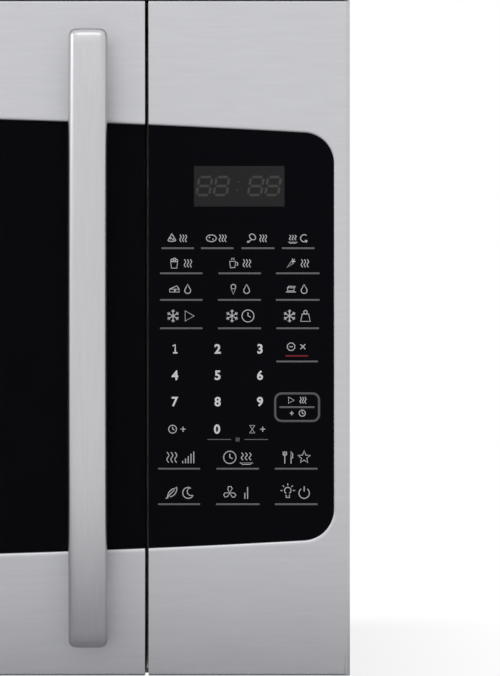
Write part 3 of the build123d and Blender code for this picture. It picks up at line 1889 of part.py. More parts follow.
def volute(inset=0.0):
    """Side view of one scroll, folded in flats, its outlet upwards, walls moved in."""
    top = blower_height + outlet_rise - inset
    tongue = volute_point(scroll_sweep, inset)
    front_y = volute_point(scroll_sweep)[0] + inset
    flats = [
        volute_point(scroll_sweep * index / scroll_flats, inset)
        for index in range(scroll_flats + 1)
    ]
    with BuildSketch() as outline:
        with BuildLine():
            Polyline(
                (flats[0][0], top),
                *flats,
                (front_y, tongue[1] + inset + 0.1),
                (front_y, top),
                close=True,
            )
        make_face()
    return outline.sketch


with BuildPart() as blower_housing:
    for start in scroll_starts:
        inner = start + scroll_sheet
        inner_length = scroll_length - 2 * scroll_sheet
        with BuildSketch(from_right(start)):
            add(volute())
        extrude(amount=scroll_length)
        with BuildSketch(from_right(inner)):
            add(volute(scroll_sheet))
        extrude(amount=inner_length, mode=Mode.SUBTRACT)
        # outlet, through the top wall
        block(
            (inner, inner + inner_length),
            (
                volute_point(scroll_sweep)[0] + scroll_sheet,
                volute_point(0)[0] - scroll_sheet,
            ),
            (
                blower_height + outlet_rise - 2 * scroll_sheet,
                blower_height + outlet_rise + 1,
            ),
            Mode.SUBTRACT,
        )
        # air inlet on the far side
        far = start if start < 0 else start + scroll_length
        with BuildSketch(from_right(far - 2)):
            with Locations((blower_y, blower_height)):
                RegularPolygon(blower_inlet_radius, 24)
        extrude(amount=4, mode=Mode.SUBTRACT)
        # feet on the oven's roof
        for foot_y in (blower_y - blower_foot_spread, blower_y + blower_foot_spread):
            block(
                (start, start + scroll_length),
                (foot_y - 1, foot_y + 1),
                (cavity_roof, volute_point(90)[1] + scroll_sheet / 2),
            )
    # deck between the scrolls, for the motor
    block(
        (scroll_starts[0] + scroll_length - 1, scroll_starts[1] + 1),
        (blower_y - deck_half, blower_y + deck_half),
        (cavity_roof, cavity_roof + deck_sheet),
    )
    for edge in (scroll_starts[0] + scroll_length - 1, scroll_starts[1]):
        block(
            (edge, edge + 1),
            (blower_y - deck_half, blower_y + deck_half),
            (cavity_roof, blower_height - scroll_start_radius + deck_lip_drop),
        )
    # way through for the shaft
    half = blower_shaft_radius + 2
    block(
        (scroll_starts[0] + scroll_length - 2, scroll_starts[1] + 2),
        (blower_y - half, blower_y + half),
        (blower_height - half, blower_height + half),
        Mode.SUBTRACT,
    )
blower_housing.part.label = "blower_housing"

with BuildPart() as blower_motor:
    # laminated stack between two end bells
    block(
        (-blower_motor_reach + blower_bell_length, blower_motor_reach - blower_bell_length),
        (blower_y - blower_motor_half, blower_y + blower_motor_half),
        (blower_height - blower_motor_half, blower_height + blower_motor_half),
    )
    with BuildSketch(from_right(-blower_motor_reach)):
        with Locations((blower_y, blower_height)):
            RegularPolygon(blower_motor_half - 4, blower_bell_sides)
    extrude(amount=2 * blower_motor_reach)
    # saddle on the deck
    block(
        (2 - blower_motor_reach + blower_bell_length, blower_motor_reach - blower_bell_length - 2),
        (blower_y - blower_saddle_half, blower_y + blower_saddle_half),
        (cavity_roof + deck_sheet, blower_height - blower_motor_half),
    )
    rod(
        (-blower_motor_reach - 1, blower_y, blower_height),
        (blower_motor_reach + 1, blower_y, blower_height),
        blower_shaft_radius + running_fit,
        Mode.SUBTRACT,
    )
blower_motor.part.label = "blower_motor"

wheel_inset = (scroll_length - blower_wheel_length) / 2
with BuildPart() as blower_rotor:
    axle = scroll_gap / 2 + wheel_inset + 6
    rod((-axle, blower_y, blower_height), (axle, blower_y, blower_height), blower_shaft_radius)
    for side in (-1, 1):
        near = side * (scroll_gap / 2 + wheel_inset)
        far = near + side * blower_wheel_length
        # disc at the motor's end and ring at the far end
        with BuildSketch(from_right(near)):
            with Locations((blower_y, blower_height)):
                RegularPolygon(blower_wheel_radius, blower_blades)
        extrude(amount=side * blower_disc)
        with BuildSketch(from_right(far)):
            with Locations((blower_y, blower_height)):
                RegularPolygon(blower_wheel_radius, blower_blades)
                RegularPolygon(
                    blower_wheel_radius - blower_ring_width,
                    blower_blades,
                    mode=Mode.SUBTRACT,
                )
        extrude(amount=-side * blower_disc)
        with BuildSketch(from_right(near)):
            with Locations((blower_y, blower_height)):
                with PolarLocations(blower_wheel_radius - 4, blower_blades):
                    Rectangle(blower_vane_width, blower_vane_sheet, rotation=blower_vane_angle)
        extrude(amount=side * blower_wheel_length)
blower_rotor.part.label = "blower_rotor"

# ---------------------------------------------------------------- exhaust and cord inlet
damper_y = exhaust_outline.low + damper_pin_inset
damper_z = body_height + damper_height

with BuildPart() as exhaust_adapter:
    with BuildSketch(Plane.XY.offset(body_height)):
        rectangle(grow(exhaust_outline, exhaust_flange_border))
        rectangle(grow(exhaust_outline, -sheet), mode=Mode.SUBTRACT)
    extrude(amount=1.2)
    with BuildSketch(Plane.XY.offset(body_height)):
        rectangle(exhaust_outline)
        rectangle(grow(exhaust_outline, -sheet), mode=Mode.SUBTRACT)
    extrude(amount=exhaust_collar_height)
    # ledge that the flap rests on
    ledge_top = damper_z - flap_sheet / 2 - 0.2
    block(
        (exhaust_outline.left + sheet / 2, exhaust_outline.right - sheet / 2),
        (exhaust_outline.high - ledge_reach, exhaust_outline.high - sheet / 2),
        (ledge_top - ledge_sheet, ledge_top),
    )
    # square holes that the flap's pins snap into
    half = damper_pin_radius + running_fit
    block(
        (exhaust_outline.left - 1, exhaust_outline.right + 1),
        (damper_y - half, damper_y + half),
        (damper_z - half, damper_z + half),
        Mode.SUBTRACT,
    )
exhaust_adapter.part.label = "exhaust_adapter"

with BuildPart() as damper_flap:
    block(
        (exhaust_outline.left + 2 * sheet, exhaust_outline.right - 2 * sheet),
        (damper_y, exhaust_outline.high - 2 * sheet),
        (damper_z - flap_sheet / 2, damper_z + flap_sheet / 2),
    )
    rod(
        (exhaust_outline.left, damper_y, damper_z),
        (exhaust_outline.right, damper_y, damper_z),
        damper_pin_radius,
    )
damper_flap.part.label = "damper_flap"

with BuildPart() as cord_gland:
    gland_low = body_height - sheet - 4
    gland_high = body_height + 2.5
    with BuildSketch(Plane.XY.offset(gland_low)):
        with Locations(gland_place):
            Rectangle(2 * gland_half - 0.1, 2 * gland_half - 0.1)
    extrude(amount=gland_high - gland_low)
    # head on the case and clip under it
    for low, high in (
        (body_height, gland_high),
        (gland_low, body_height - sheet),
    ):
        with BuildSketch(Plane.XY.offset(low)):
            with Locations(gland_place):
                Rectangle(2 * gland_head_half, 2 * gland_head_half)
        extrude(amount=high - low)
    rod(
        (*gland_place, gland_low - 1),
        (*gland_place, gland_high + 1),
        gland_bore_radius,
        Mode.SUBTRACT,
    )
cord_gland.part.label = "cord_gland"

# ---------------------------------------------------------------- export
sub_parts = [
    outer_case,
    base_pan,
    back_panel,
    wall_plate,
    cord_gland,
    exhaust_adapter,
    damper_flap,
    vent_grille,
    charcoal_filter,
    blower_housing,
    blower_motor,
    blower_rotor,
    grease_filter_left,
    grease_filter_right,
    lamp_cover_left,
    lamp_cover_right,
    cooktop_lamps,
    oven_cavity,
    hinge_upper,
    hinge_lower,
    waveguide,
    waveguide_cover,
    magnetron,
    component_shelf,
    hv_transformer,
    hv_capacitor,
    hv_diode,
    cooling_fan_shroud,
    cooling_fan_motor,
    cooling_fan_blade,
    noise_filter_board,
    cavity_lamp,
    latch_board,
    interlock_switches,
    switch_plungers,
    turntable_motor,
    tray_coupler,
    glass_tray,
    roller_ring,
    roller_1,
    roller_2,
    roller_3,
    control_skin,
    keypad_overlay,
    display_window,
    control_chassis,
    control_board,
    display_module,
    door_skin,
    door_glass,
    door_surround,
    door_frame,
    door_screen,
    choke_cover,
    door_handle,
    hinge_bushes,
    latch_key,
    latch_spring,
]

os.makedirs("parts", exist_ok=True)
for sub_part in sub_parts:
    export_step(sub_part.part, f"parts/{sub_part.part.label}.step")
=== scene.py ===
# %% [markdown]
# An over-the-range microwave oven hangs on the wall above a cooker. Its whole front is one
# curved black area in a brushed steel face: the left part is the door's glass, and the
# right part is a keypad with a small clock above it. This lesson starts from a finished
# CAD model, which fixes every size, and gives it the looks of the real thing: rolled steel
# edges, printed symbols, screws, filter mesh, and a finish for every surface.
#
# All lengths in Blender are metres. The drawing sizes below are in millimetres, and `mm`
# turns them into metres. +X is the viewer's right, -Y is the front and +Z is up.

# %% Load the frame
import json
import math
from functools import partial

import bmesh
import bpy
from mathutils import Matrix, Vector


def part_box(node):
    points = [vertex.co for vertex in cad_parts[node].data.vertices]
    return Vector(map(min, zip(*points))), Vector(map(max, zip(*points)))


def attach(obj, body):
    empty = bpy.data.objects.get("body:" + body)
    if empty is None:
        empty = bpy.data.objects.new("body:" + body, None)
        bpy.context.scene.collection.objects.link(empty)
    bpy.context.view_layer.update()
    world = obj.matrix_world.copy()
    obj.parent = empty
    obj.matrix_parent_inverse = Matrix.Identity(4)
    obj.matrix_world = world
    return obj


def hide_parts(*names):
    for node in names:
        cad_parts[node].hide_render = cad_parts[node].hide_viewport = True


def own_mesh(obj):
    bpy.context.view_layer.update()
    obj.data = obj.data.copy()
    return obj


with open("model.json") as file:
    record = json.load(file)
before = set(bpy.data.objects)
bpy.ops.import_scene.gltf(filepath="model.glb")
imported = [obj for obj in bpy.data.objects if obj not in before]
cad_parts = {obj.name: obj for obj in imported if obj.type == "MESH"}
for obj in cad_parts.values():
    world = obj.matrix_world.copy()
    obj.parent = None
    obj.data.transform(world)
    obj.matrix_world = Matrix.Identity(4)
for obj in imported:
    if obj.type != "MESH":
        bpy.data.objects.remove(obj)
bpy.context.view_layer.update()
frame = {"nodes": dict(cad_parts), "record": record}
mm = 0.001

# %% [markdown]
# A piece in Blender is placed by what carries it, so its place is read from the CAD nodes
# and not typed. `front` is the depth of the steel face, and `film` that of the keypad's
# printed film, which lies one sheet behind it and reaches a little under its edge. The
# black area's outline has a long shallow arc above and below, so its numbers are kept
# together here.

# %% Measures that the pieces share
panel_low, panel_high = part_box("control_skin")
door_low, door_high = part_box("door_skin")
film_low, film_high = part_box("keypad_overlay")
front = panel_low.y
film = film_low.y
half_front = panel_high.x
fold_depth = panel_high.y - front
sheet = 1.0 * mm
bend = 3.0 * mm
film_tuck = 3.0 * mm
lens_reach = film_high.x - film_tuck
lens_height = 188.6 * mm
lens_middle = 122.0 * mm
lens_end = 111.0 * mm
lens_corner = 17.0 * mm
lens_arc = (lens_reach**2 + (lens_middle - lens_end) ** 2) / (2 * (lens_middle - lens_end))
print("steel face at y", round(front, 5), "film at y", round(film, 5))

# %% [markdown]
# The camera comes next, because every later choice is judged through it. The object was
# seen square on from far away, which a long lens gives: lines stay nearly parallel. The
# control panel's foot and top just touch the lower and upper edge of the picture.


# %% Camera
def add_object(name, data):
    thing = bpy.data.objects.new(name, data)
    bpy.context.scene.collection.objects.link(thing)
    return thing


panel_middle_x, panel_middle_z = 324.7 * mm, 187.2 * mm
camera_distance = 2.058
camera_data = bpy.data.cameras.new("camera")
camera_data.lens = 200.0
camera_data.sensor_width = 36.0
camera_data.clip_end = 50.0
camera = add_object("camera", camera_data)
camera.location = (panel_middle_x, front - camera_distance, panel_middle_z)
camera.rotation_euler = (math.radians(90), 0, 0)
bpy.context.scene.camera = camera
print("camera stands", camera_distance, "m in front of the steel")

# %% [markdown]
# Every finish is built from nodes. `place` adds one node and fills its inputs: a socket
# given as a value is linked, and anything else is typed in. `effect` starts a group, which
# is a box of nodes with named inputs and outputs that several finishes share, and
# `end_effect` links what comes out of it.


# %% Helpers for node trees
def place(tree, kind, inputs=None, **settings):
    node = tree.nodes.new(kind)
    for name, value in settings.items():
        setattr(node, name, value)
    for name, value in (inputs or {}).items():
        if isinstance(value, bpy.types.NodeSocket):
            tree.links.new(value, node.inputs[name])
        else:
            node.inputs[name].default_value = value
    return node


def first_output(tree, kind, inputs=None, **settings):
    return place(tree, kind, inputs, **settings).outputs[0]


def math_node(tree, operation, first, second=0.0, clamp=False):
    inputs = {0: first, 1: second}
    return first_output(tree, "ShaderNodeMath", inputs, operation=operation, use_clamp=clamp)


def vector_math(tree, operation, first, second=(0.0, 0.0, 0.0)):
    inputs = {0: first, 1: second}
    return place(tree, "ShaderNodeVectorMath", inputs, operation=operation).outputs


def noise(tree, vector, scale, detail=2.0, roughness=0.5, distortion=0.0):
    inputs = {"Vector": vector, "Scale": scale, "Detail": detail}
    inputs |= {"Roughness": roughness, "Distortion": distortion}
    return place(tree, "ShaderNodeTexNoise", inputs).outputs["Fac"]


def ramp(tree, value, low, high, to_low=0.0, to_high=1.0):
    inputs = {"Value": value, 1: low, 2: high, 3: to_low, 4: to_high}
    return first_output(tree, "ShaderNodeMapRange", inputs)


def start_group(name, kind, inputs, outputs):
    """Starts a node group. Sockets are given as title: (kind of socket, value)."""
    group = bpy.data.node_groups.new(name, kind)
    for way, sockets in (("INPUT", inputs), ("OUTPUT", outputs)):
        for title, (socket_kind, value) in sockets.items():
            socket = group.interface.new_socket(
                title, in_out=way, socket_type="NodeSocket" + socket_kind
            )
            if value is not None:
                socket.default_value = value
    return group, group.nodes.new("NodeGroupInput").outputs, group.nodes.new("NodeGroupOutput")


def effect(name, outputs, **sizes):
    inputs = {"Vector": ("Vector", None)}
    for title, value in sizes.items():
        inputs[title] = ("Vector" if value is None else "Float", value)
    outputs = {title: ("Float", None) for title in outputs}
    return start_group(name, "ShaderNodeTree", inputs, outputs)


def end_effect(group, result, **values):
    for title, value in values.items():
        group.links.new(value, result.inputs[title])
    print(group.name, "has", len(group.nodes), "nodes")


print("node helpers ready")

# %% [markdown]
# Brushed steel is scratched one way by an abrasive belt. Noise that is stretched a
# hundredfold along the brushing gives such lines. Two sizes are mixed, because a real
# sheet has both hair-fine lines and broader, fainter streaks. The group gives a shade near
# 0.5 and a height for the bump.

# %% Shared effect: brushed lines
brushed_lines, given, result = effect("brushed_lines", ["Shade", "Height"], Stretch=None)
stretched = vector_math(brushed_lines, "MULTIPLY", given["Vector"], given["Stretch"])[0]
fine = noise(brushed_lines, stretched, 26.0, 3.0, 0.6)
broad = noise(brushed_lines, stretched, 5.0)
shade = math_node(brushed_lines, "ADD", fine, broad)
shade = math_node(brushed_lines, "MULTIPLY", shade, 0.5)
end_effect(brushed_lines, result, Shade=shade, Height=fine)

# %% [markdown]
# Moulded plastic takes a fine leather-like texture from its mould, and sprayed paint dries
# in soft dimples called orange peel. Both are the same pattern at different sizes: cells
# with rounded floors, broken up by a little noise.

# %% Shared effect: moulded grain
moulded_grain, given, result = effect("moulded_grain", ["Tone", "Height"], Scale=900.0)
inputs = {"Vector": given["Vector"], "Scale": given["Scale"]}
cells = place(moulded_grain, "ShaderNodeTexVoronoi", inputs, feature="SMOOTH_F1").outputs
uneven = noise(moulded_grain, given["Vector"], given["Scale"], 3.0)
height = math_node(moulded_grain, "ADD", cells["Distance"], uneven)
slow = noise(moulded_grain, given["Vector"], 14.0, 3.0)
end_effect(moulded_grain, result, Tone=slow, Height=height)

# %% [markdown]
# Nothing in a kitchen is evenly clean. Hands leave faint smears, which change the gloss
# more than the colour, and dust settles only on surfaces that face up. The first group
# makes the smears from large soft noise with its low parts cut off. The second reads the
# surface's own direction and keeps what points to the ceiling.

# %% Shared effects: smears and dust
hand_smears, given, result = effect("hand_smears", ["Mask"], Size=9.0)
cloud = noise(hand_smears, given["Vector"], given["Size"], 5.0, distortion=0.6)
end_effect(hand_smears, result, Mask=ramp(hand_smears, cloud, 0.48, 0.75))

settled_dust, given, result = effect("settled_dust", ["Mask"], Amount=0.3)
normal = place(settled_dust, "ShaderNodeNewGeometry").outputs["Normal"]
upward = place(settled_dust, "ShaderNodeSeparateXYZ", {0: normal}).outputs["Z"]
upward = ramp(settled_dust, upward, 0.55, 0.98)
drift = noise(settled_dust, given["Vector"], 22.0, 5.0, 0.65)
drift = ramp(settled_dust, drift, 0.3, 0.8)
dust = math_node(settled_dust, "MULTIPLY", upward, drift)
dust = math_node(settled_dust, "MULTIPLY", dust, given["Amount"], clamp=True)
end_effect(settled_dust, result, Mask=dust)

# %% [markdown]
# Zinc on galvanised steel freezes into flat crystals, each a little lighter or darker than
# the next. Voronoi cells, each with one random grey, are exactly that pattern.

# %% Shared effect: zinc crystals
zinc_crystals, given, result = effect("zinc_crystals", ["Tone", "Height"], Scale=140.0)
inputs = {"Vector": given["Vector"], "Scale": given["Scale"]}
crystal = place(zinc_crystals, "ShaderNodeTexVoronoi", inputs).outputs
grey = first_output(zinc_crystals, "ShaderNodeSeparateColor", {0: crystal["Color"]})
end_effect(zinc_crystals, result, Tone=grey, Height=crystal["Distance"])

# %% [markdown]
# The last group draws round holes on a honeycomb, for the screen that keeps the waves in.
# Two grids of dots, the second moved by half a step both ways, make the honeycomb. Both are
# counted from a thousand steps away, so that no count is negative. The distance to the
# nearer dot says whether a spot lies in a hole.

# %% Shared effect: honeycomb holes
hole_pitch, hole_radius = 2.4 * mm, 0.8 * mm
above_zero = 1000.0
honeycomb_holes, given, result = effect(
    "honeycomb_holes", ["Hole"], Pitch=hole_pitch, Radius=hole_radius
)
calculate = partial(math_node, honeycomb_holes)
axes = place(honeycomb_holes, "ShaderNodeSeparateXYZ", {0: given["Vector"]}).outputs
nearest = []
for shift in (0.0, 0.5):
    squares = []
    for axis, stretch in (("X", 1.0), ("Z", math.sqrt(3))):
        step = calculate("MULTIPLY", given["Pitch"], stretch)
        steps = calculate("ADD", calculate("DIVIDE", axes[axis], step), shift + above_zero)
        within = calculate("SUBTRACT", calculate("FRACT", steps), 0.5)
        within = calculate("MULTIPLY", within, step)
        squares.append(calculate("MULTIPLY", within, within))
    nearest.append(calculate("ADD", *squares))
distance = calculate("SQRT", calculate("MINIMUM", *nearest))
hole = calculate("LESS_THAN", distance, given["Radius"])
end_effect(honeycomb_holes, result, Hole=hole)

# %% [markdown]
# A finish is one material. `start_finish` makes it with its shader, and `use` puts one of
# the groups above into it. `set_colour` lets a mask mix two colours, `set_bump` turns a
# height into a normal, and `set_gloss` varies the roughness. Numbers that are the same all
# over are typed straight into the shader's own sockets.


# %% Helpers for finishes
finishes = {}


def start_finish(name, colour, **values):
    material = bpy.data.materials.new(name)
    material.use_nodes = True
    material.diffuse_color = (*colour, 1.0)
    tree = material.node_tree
    tree.nodes.clear()
    inputs = {title.replace("_", " "): value for title, value in values.items()}
    inputs["Base Color"] = (*colour, 1.0)
    shader = place(tree, "ShaderNodeBsdfPrincipled", inputs)
    place(tree, "ShaderNodeOutputMaterial", {"Surface": shader.outputs["BSDF"]})
    finishes[name] = material
    return tree, shader, place(tree, "ShaderNodeTexCoord").outputs["Object"]


def use(tree, group, **values):
    return place(tree, "ShaderNodeGroup", values, node_tree=group).outputs


def set_colour(tree, shader, mask, low, high):
    low = low if isinstance(low, bpy.types.NodeSocket) else (*low, 1.0)
    inputs = {0: mask, 6: low, 7: (*high, 1.0)}
    mixed = place(tree, "ShaderNodeMix", inputs, data_type="RGBA").outputs[2]
    tree.links.new(mixed, shader.inputs["Base Color"])
    return mixed


def set_gloss(tree, shader, mask, low, high):
    tree.links.new(ramp(tree, mask, 0.0, 1.0, low, high), shader.inputs["Roughness"])


def set_bump(tree, shader, height, strength, distance):
    inputs = {"Height": height, "Strength": strength, "Distance": distance}
    tree.links.new(first_output(tree, "ShaderNodeBump", inputs), shader.inputs["Normal"])


def shades(colour, darker, lighter):
    """A colour made darker and lighter by two factors."""
    return [tuple(min(1.0, part * factor) for part in colour) for factor in (darker, lighter)]


print("finish helpers ready")

# %% [markdown]
# Most finishes are built alike: a slow change of tone, a fine grain for the bump, smears
# or the tone itself in the gloss, and on some of them dust. One function holds those steps,
# and the finishes below say how strong each step is.


# %% Steps that most finishes share
def layered(name, colour, grain, tones, gloss, bump, smears=None, dust=None, **values):
    tree, shader, spot = start_finish(name, colour, **values)
    texture = use(tree, moulded_grain, Vector=spot, Scale=grain)
    tone = set_colour(tree, shader, texture["Tone"], *shades(colour, *tones))
    if dust:
        amount, dust_colour = dust
        dirt = use(tree, settled_dust, Vector=spot, Amount=amount)
        set_colour(tree, shader, dirt["Mask"], tone, dust_colour)
    mask = texture["Tone"]
    if smears:
        mask = use(tree, hand_smears, Vector=spot, Size=smears)["Mask"]
    set_gloss(tree, shader, mask, *gloss)
    set_bump(tree, shader, texture["Height"], *bump)


print("one function for grain, tone, dust and smears")

# %% [markdown]
# The metals. The front is stainless steel brushed from side to side, and the handle is
# aluminium brushed along its length. Motors and brackets are plain plated metal, and the
# filters' dull aluminium has the same finish without its dust. The parts that nobody sees
# once the oven hangs are galvanised.


# %% Finishes: metals
def brushed_metal(name, colour, stretch, roughness):
    tree, shader, spot = start_finish(name, colour, Metallic=1.0)
    lines = use(tree, brushed_lines, Vector=spot, Stretch=stretch)
    tone = ramp(tree, lines["Shade"], 0.3, 0.7)
    set_colour(tree, shader, tone, *shades(colour, 0.955, 1.045))
    smears = use(tree, hand_smears, Vector=spot, Size=11.0)
    set_gloss(tree, shader, smears["Mask"], roughness, roughness + 0.05)
    set_bump(tree, shader, lines["Height"], 0.12, 0.04 * mm)


def plated_metal(name, colour, roughness, dust=0.25):
    gloss = (roughness - 0.06, roughness + 0.1)
    dust = (dust, (0.42, 0.4, 0.37))
    bump = (0.08, 0.04 * mm)
    layered(name, colour, 1400.0, (0.86, 1.1), gloss, bump, dust=dust, Metallic=1.0)


def galvanised(name, colour):
    tree, shader, spot = start_finish(name, colour, Metallic=1.0)
    crystals = use(tree, zinc_crystals, Vector=spot, Scale=150.0)
    set_colour(tree, shader, crystals["Tone"], *shades(colour, 0.8, 1.12))
    set_gloss(tree, shader, crystals["Tone"], 0.32, 0.55)
    set_bump(tree, shader, crystals["Height"], 0.05, 0.1 * mm)


brushed_metal("stainless_face", (0.558, 0.56, 0.583), (6.0, 60.0, 90.0), 0.36)
brushed_metal("handle_metal", (0.545, 0.545, 0.565), (120.0, 120.0, 4.0), 0.3)
plated_metal("hinge_steel", (0.50, 0.49, 0.46), 0.35)
plated_metal("motor_steel", (0.36, 0.36, 0.37), 0.4)
plated_metal("magnetron_metal", (0.62, 0.62, 0.62), 0.35)
plated_metal("capacitor_can", (0.66, 0.66, 0.65), 0.3)
plated_metal("screw_metal", (0.55, 0.55, 0.55), 0.28, 0.1)
plated_metal("filter_aluminium", (0.70, 0.70, 0.69), 0.38, 0.0)
galvanised("galvanised_steel", (0.55, 0.56, 0.57))
print("metal finishes:", len(finishes))

# %% [markdown]
# Paint and plastic. The case is dark satin paint with orange peel, the cavity and the
# door's inner frame are enamel, and the moulded parts have their mould's grain. Mica,
# charcoal and the circuit board take the same steps with a coarser one.


# %% Finishes: paint, enamel and plastics
def painted(name, colour, roughness, peel, dust):
    gloss = (roughness, roughness + 0.12)
    coat = {"Coat_Weight": 0.25, "Coat_Roughness": 0.2}
    dust = (dust, (0.4, 0.38, 0.35))
    layered(name, colour, peel, (0.9, 1.12), gloss, (0.12, 0.12 * mm), 7.0, dust, **coat)


def moulded(name, colour, roughness, grain=1300.0, strength=0.2):
    gloss = (roughness, roughness + 0.08)
    layered(name, colour, grain, (0.88, 1.12), gloss, (strength, 0.1 * mm), 12.0)


painted("case_paint", (0.045, 0.045, 0.05), 0.42, 420.0, 0.1)
painted("door_enamel", (0.03, 0.03, 0.033), 0.3, 380.0, 0.2)
painted("cavity_enamel", (0.74, 0.74, 0.72), 0.35, 300.0, 0.06)
painted("transformer_iron", (0.16, 0.13, 0.11), 0.45, 700.0, 0.3)
moulded("grille_plastic", (0.50, 0.50, 0.52), 0.4, 1500.0, 0.12)
moulded("black_plastic", (0.03, 0.03, 0.032), 0.45)
moulded("gland_plastic", (0.03, 0.03, 0.03), 0.5)
moulded("bearing_plastic", (0.75, 0.75, 0.72), 0.4, 1800.0, 0.08)
moulded("latch_board_plastic", (0.68, 0.68, 0.66), 0.45)
moulded("switch_plastic", (0.05, 0.05, 0.06), 0.25, 1800.0, 0.05)
moulded("diode_plastic", (0.03, 0.03, 0.03), 0.3, 1800.0, 0.05)
moulded("fan_plastic", (0.08, 0.08, 0.085), 0.42)
moulded("board_laminate", (0.10, 0.26, 0.14), 0.35, 260.0, 0.2)
moulded("lamp_parts", (0.85, 0.84, 0.78), 0.2, 900.0, 0.03)
moulded("mica", (0.62, 0.55, 0.44), 0.5, 220.0, 0.3)
moulded("charcoal", (0.04, 0.04, 0.04), 0.9, 330.0, 1.0)
print("finishes so far:", len(finishes))

# %% [markdown]
# The keypad is a polyester film printed black from behind, with a very even, dark sheen.
# It has almost no reflection seen square on, so its specular level is low. The clock's lens
# is smoked plastic, a shade lighter than the film. The door's glass is a dark tint that
# lets over half of the light straight through: alpha does that without the bright specks
# that refracted lamp light leaves on the print behind. The glass and the print on its back
# are separate finishes, as on the real door. The tray and the lamp covers do refract.


# %% Finishes: film, lenses and glass
def film_finish(name, colour, roughness, level):
    gloss = (roughness, roughness + 0.12)
    bump = (0.03, 0.03 * mm)
    sheen = {"Specular_IOR_Level": level}
    layered(name, colour, 2600.0, (0.85, 1.15), gloss, bump, 14.0, **sheen)


def smeared_glass(name, colour, roughness, added, **values):
    tree, shader, spot = start_finish(name, colour, **values)
    smears = use(tree, hand_smears, Vector=spot, Size=10.0)["Mask"]
    set_gloss(tree, shader, smears, roughness, roughness + added)
    return tree, shader, spot, smears


def tinted_glass(name, colour, roughness, cover):
    made = smeared_glass(name, colour, roughness, 0.06, Specular_IOR_Level=0.04)
    tree, shader, spot, smears = made
    tree.links.new(ramp(tree, smears, 0.0, 1.0, cover, cover + 0.02), shader.inputs["Alpha"])


def clear_glass(name, colour, roughness, ribs=0.0):
    values = {"Transmission_Weight": 1.0, "IOR": 1.5}
    tree, shader, spot, smears = smeared_glass(name, colour, roughness, 0.05, **values)
    if ribs:
        grain = use(tree, moulded_grain, Vector=spot, Scale=420.0)
        set_bump(tree, shader, grain["Height"], ribs, 0.2 * mm)


print_black = (0.0031, 0.0029, 0.0047)
film_finish("keypad_film", print_black, 0.3, 0.02)
film_finish("glass_print", print_black, 0.25, 0.02)
film_finish("display_lens", (0.026, 0.026, 0.0275), 0.3, 0.06)
tinted_glass("door_glass", print_black, 0.06, 0.4)
clear_glass("tray_glass", (0.86, 0.93, 0.91), 0.03)
clear_glass("lamp_cover_glass", (0.92, 0.94, 0.94), 0.28, ribs=0.5)
print("finishes so far:", len(finishes))

# %% [markdown]
# The screen in the door is thin black steel with thousands of holes, too small for waves
# but wide enough to see the food. Cutting 20,000 holes in a mesh would be wasteful, so the
# honeycomb group drives the alpha: where there is a hole, the sheet isn't there.

# %% Finish: perforated screen
tree, shader, spot = start_finish("door_screen_steel", (0.03, 0.03, 0.033), Metallic=0.4)
holes = use(tree, honeycomb_holes, Vector=spot, Pitch=hole_pitch, Radius=hole_radius)
grain = use(tree, moulded_grain, Vector=spot, Scale=900.0)
set_gloss(tree, shader, grain["Tone"], 0.3, 0.45)
set_bump(tree, shader, grain["Height"], 0.05, 0.1 * mm)
tree.links.new(math_node(tree, "SUBTRACT", 1.0, holes["Hole"]), shader.inputs["Alpha"])
print("screen holes are", 2000 * hole_radius, "mm wide, one every", 1000 * hole_pitch, "mm")

# %% [markdown]
# Printed inks are flat and matt. They are lit by the room like anything else, so they get
# a plain colour with a faint unevenness, as screen printing has.


# %% Finishes: inks
def ink(name, colour):
    sheen = {"Specular_IOR_Level": 0.1}
    layered(name, colour, 3000.0, (0.92, 1.06), (0.5, 0.6), (0.02, 0.02 * mm), **sheen)


ink("ink_bright", (0.86, 0.86, 0.87))
ink("ink_label", (0.64, 0.64, 0.65))
ink("ink_line", (0.185, 0.185, 0.19))
ink("ink_frame", (0.135, 0.135, 0.138))
ink("ink_red", (0.32, 0.03, 0.035))
ink("ink_segment", (0.07, 0.069, 0.066))
print("finishes in all:", len(finishes))

# %% [markdown]
# Each CAD node keeps its shape and gets its finish in its own material slot. The record
# says which finish a node has, so one loop dresses them all. The screen is the one node
# whose finish is finer than the record's.

# %% Dress the CAD nodes
finish_of_node = {
    part["node"]: part["material_slot"] for part in frame["record"]["subparts"]
}
finish_of_node["door_screen"] = "door_screen_steel"
for node, piece in frame["nodes"].items():
    piece.data.materials.clear()
    piece.data.materials.append(finishes[finish_of_node[node]])
print("dressed", len(frame["nodes"]), "nodes")

# %% [markdown]
# New pieces are made as plain meshes whose object stays at the origin, so that a pattern
# on object coordinates sits still. `finish_piece` links the object, gives it its finish,
# hangs it on the body it moves with, and hides the CAD nodes that it stands for. `skin_rings`
# joins rings of points, each as long as the next, with faces from ring to ring, and
# `ringed_piece` makes a whole piece of such skins in place of a CAD node.


# %% Helpers for new pieces
close_enough = 0.002 * mm


def finish_piece(mesh, name, finish, body, stands_for=(), smooth=35.0):
    piece = add_object(name, mesh)
    mesh.materials.clear()
    mesh.materials.append(finishes[finish])
    if smooth:
        mesh.shade_smooth()
        mesh.set_sharp_from_angle(angle=math.radians(smooth))
    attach(piece, body)
    if stands_for:
        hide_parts(*stands_for)
    print(name, "has", len(mesh.polygons), "faces")
    return piece


def mesh_from(name, shape):
    bmesh.ops.recalc_face_normals(shape, faces=shape.faces)
    mesh = bpy.data.meshes.new(name)
    shape.to_mesh(mesh)
    shape.free()
    return mesh


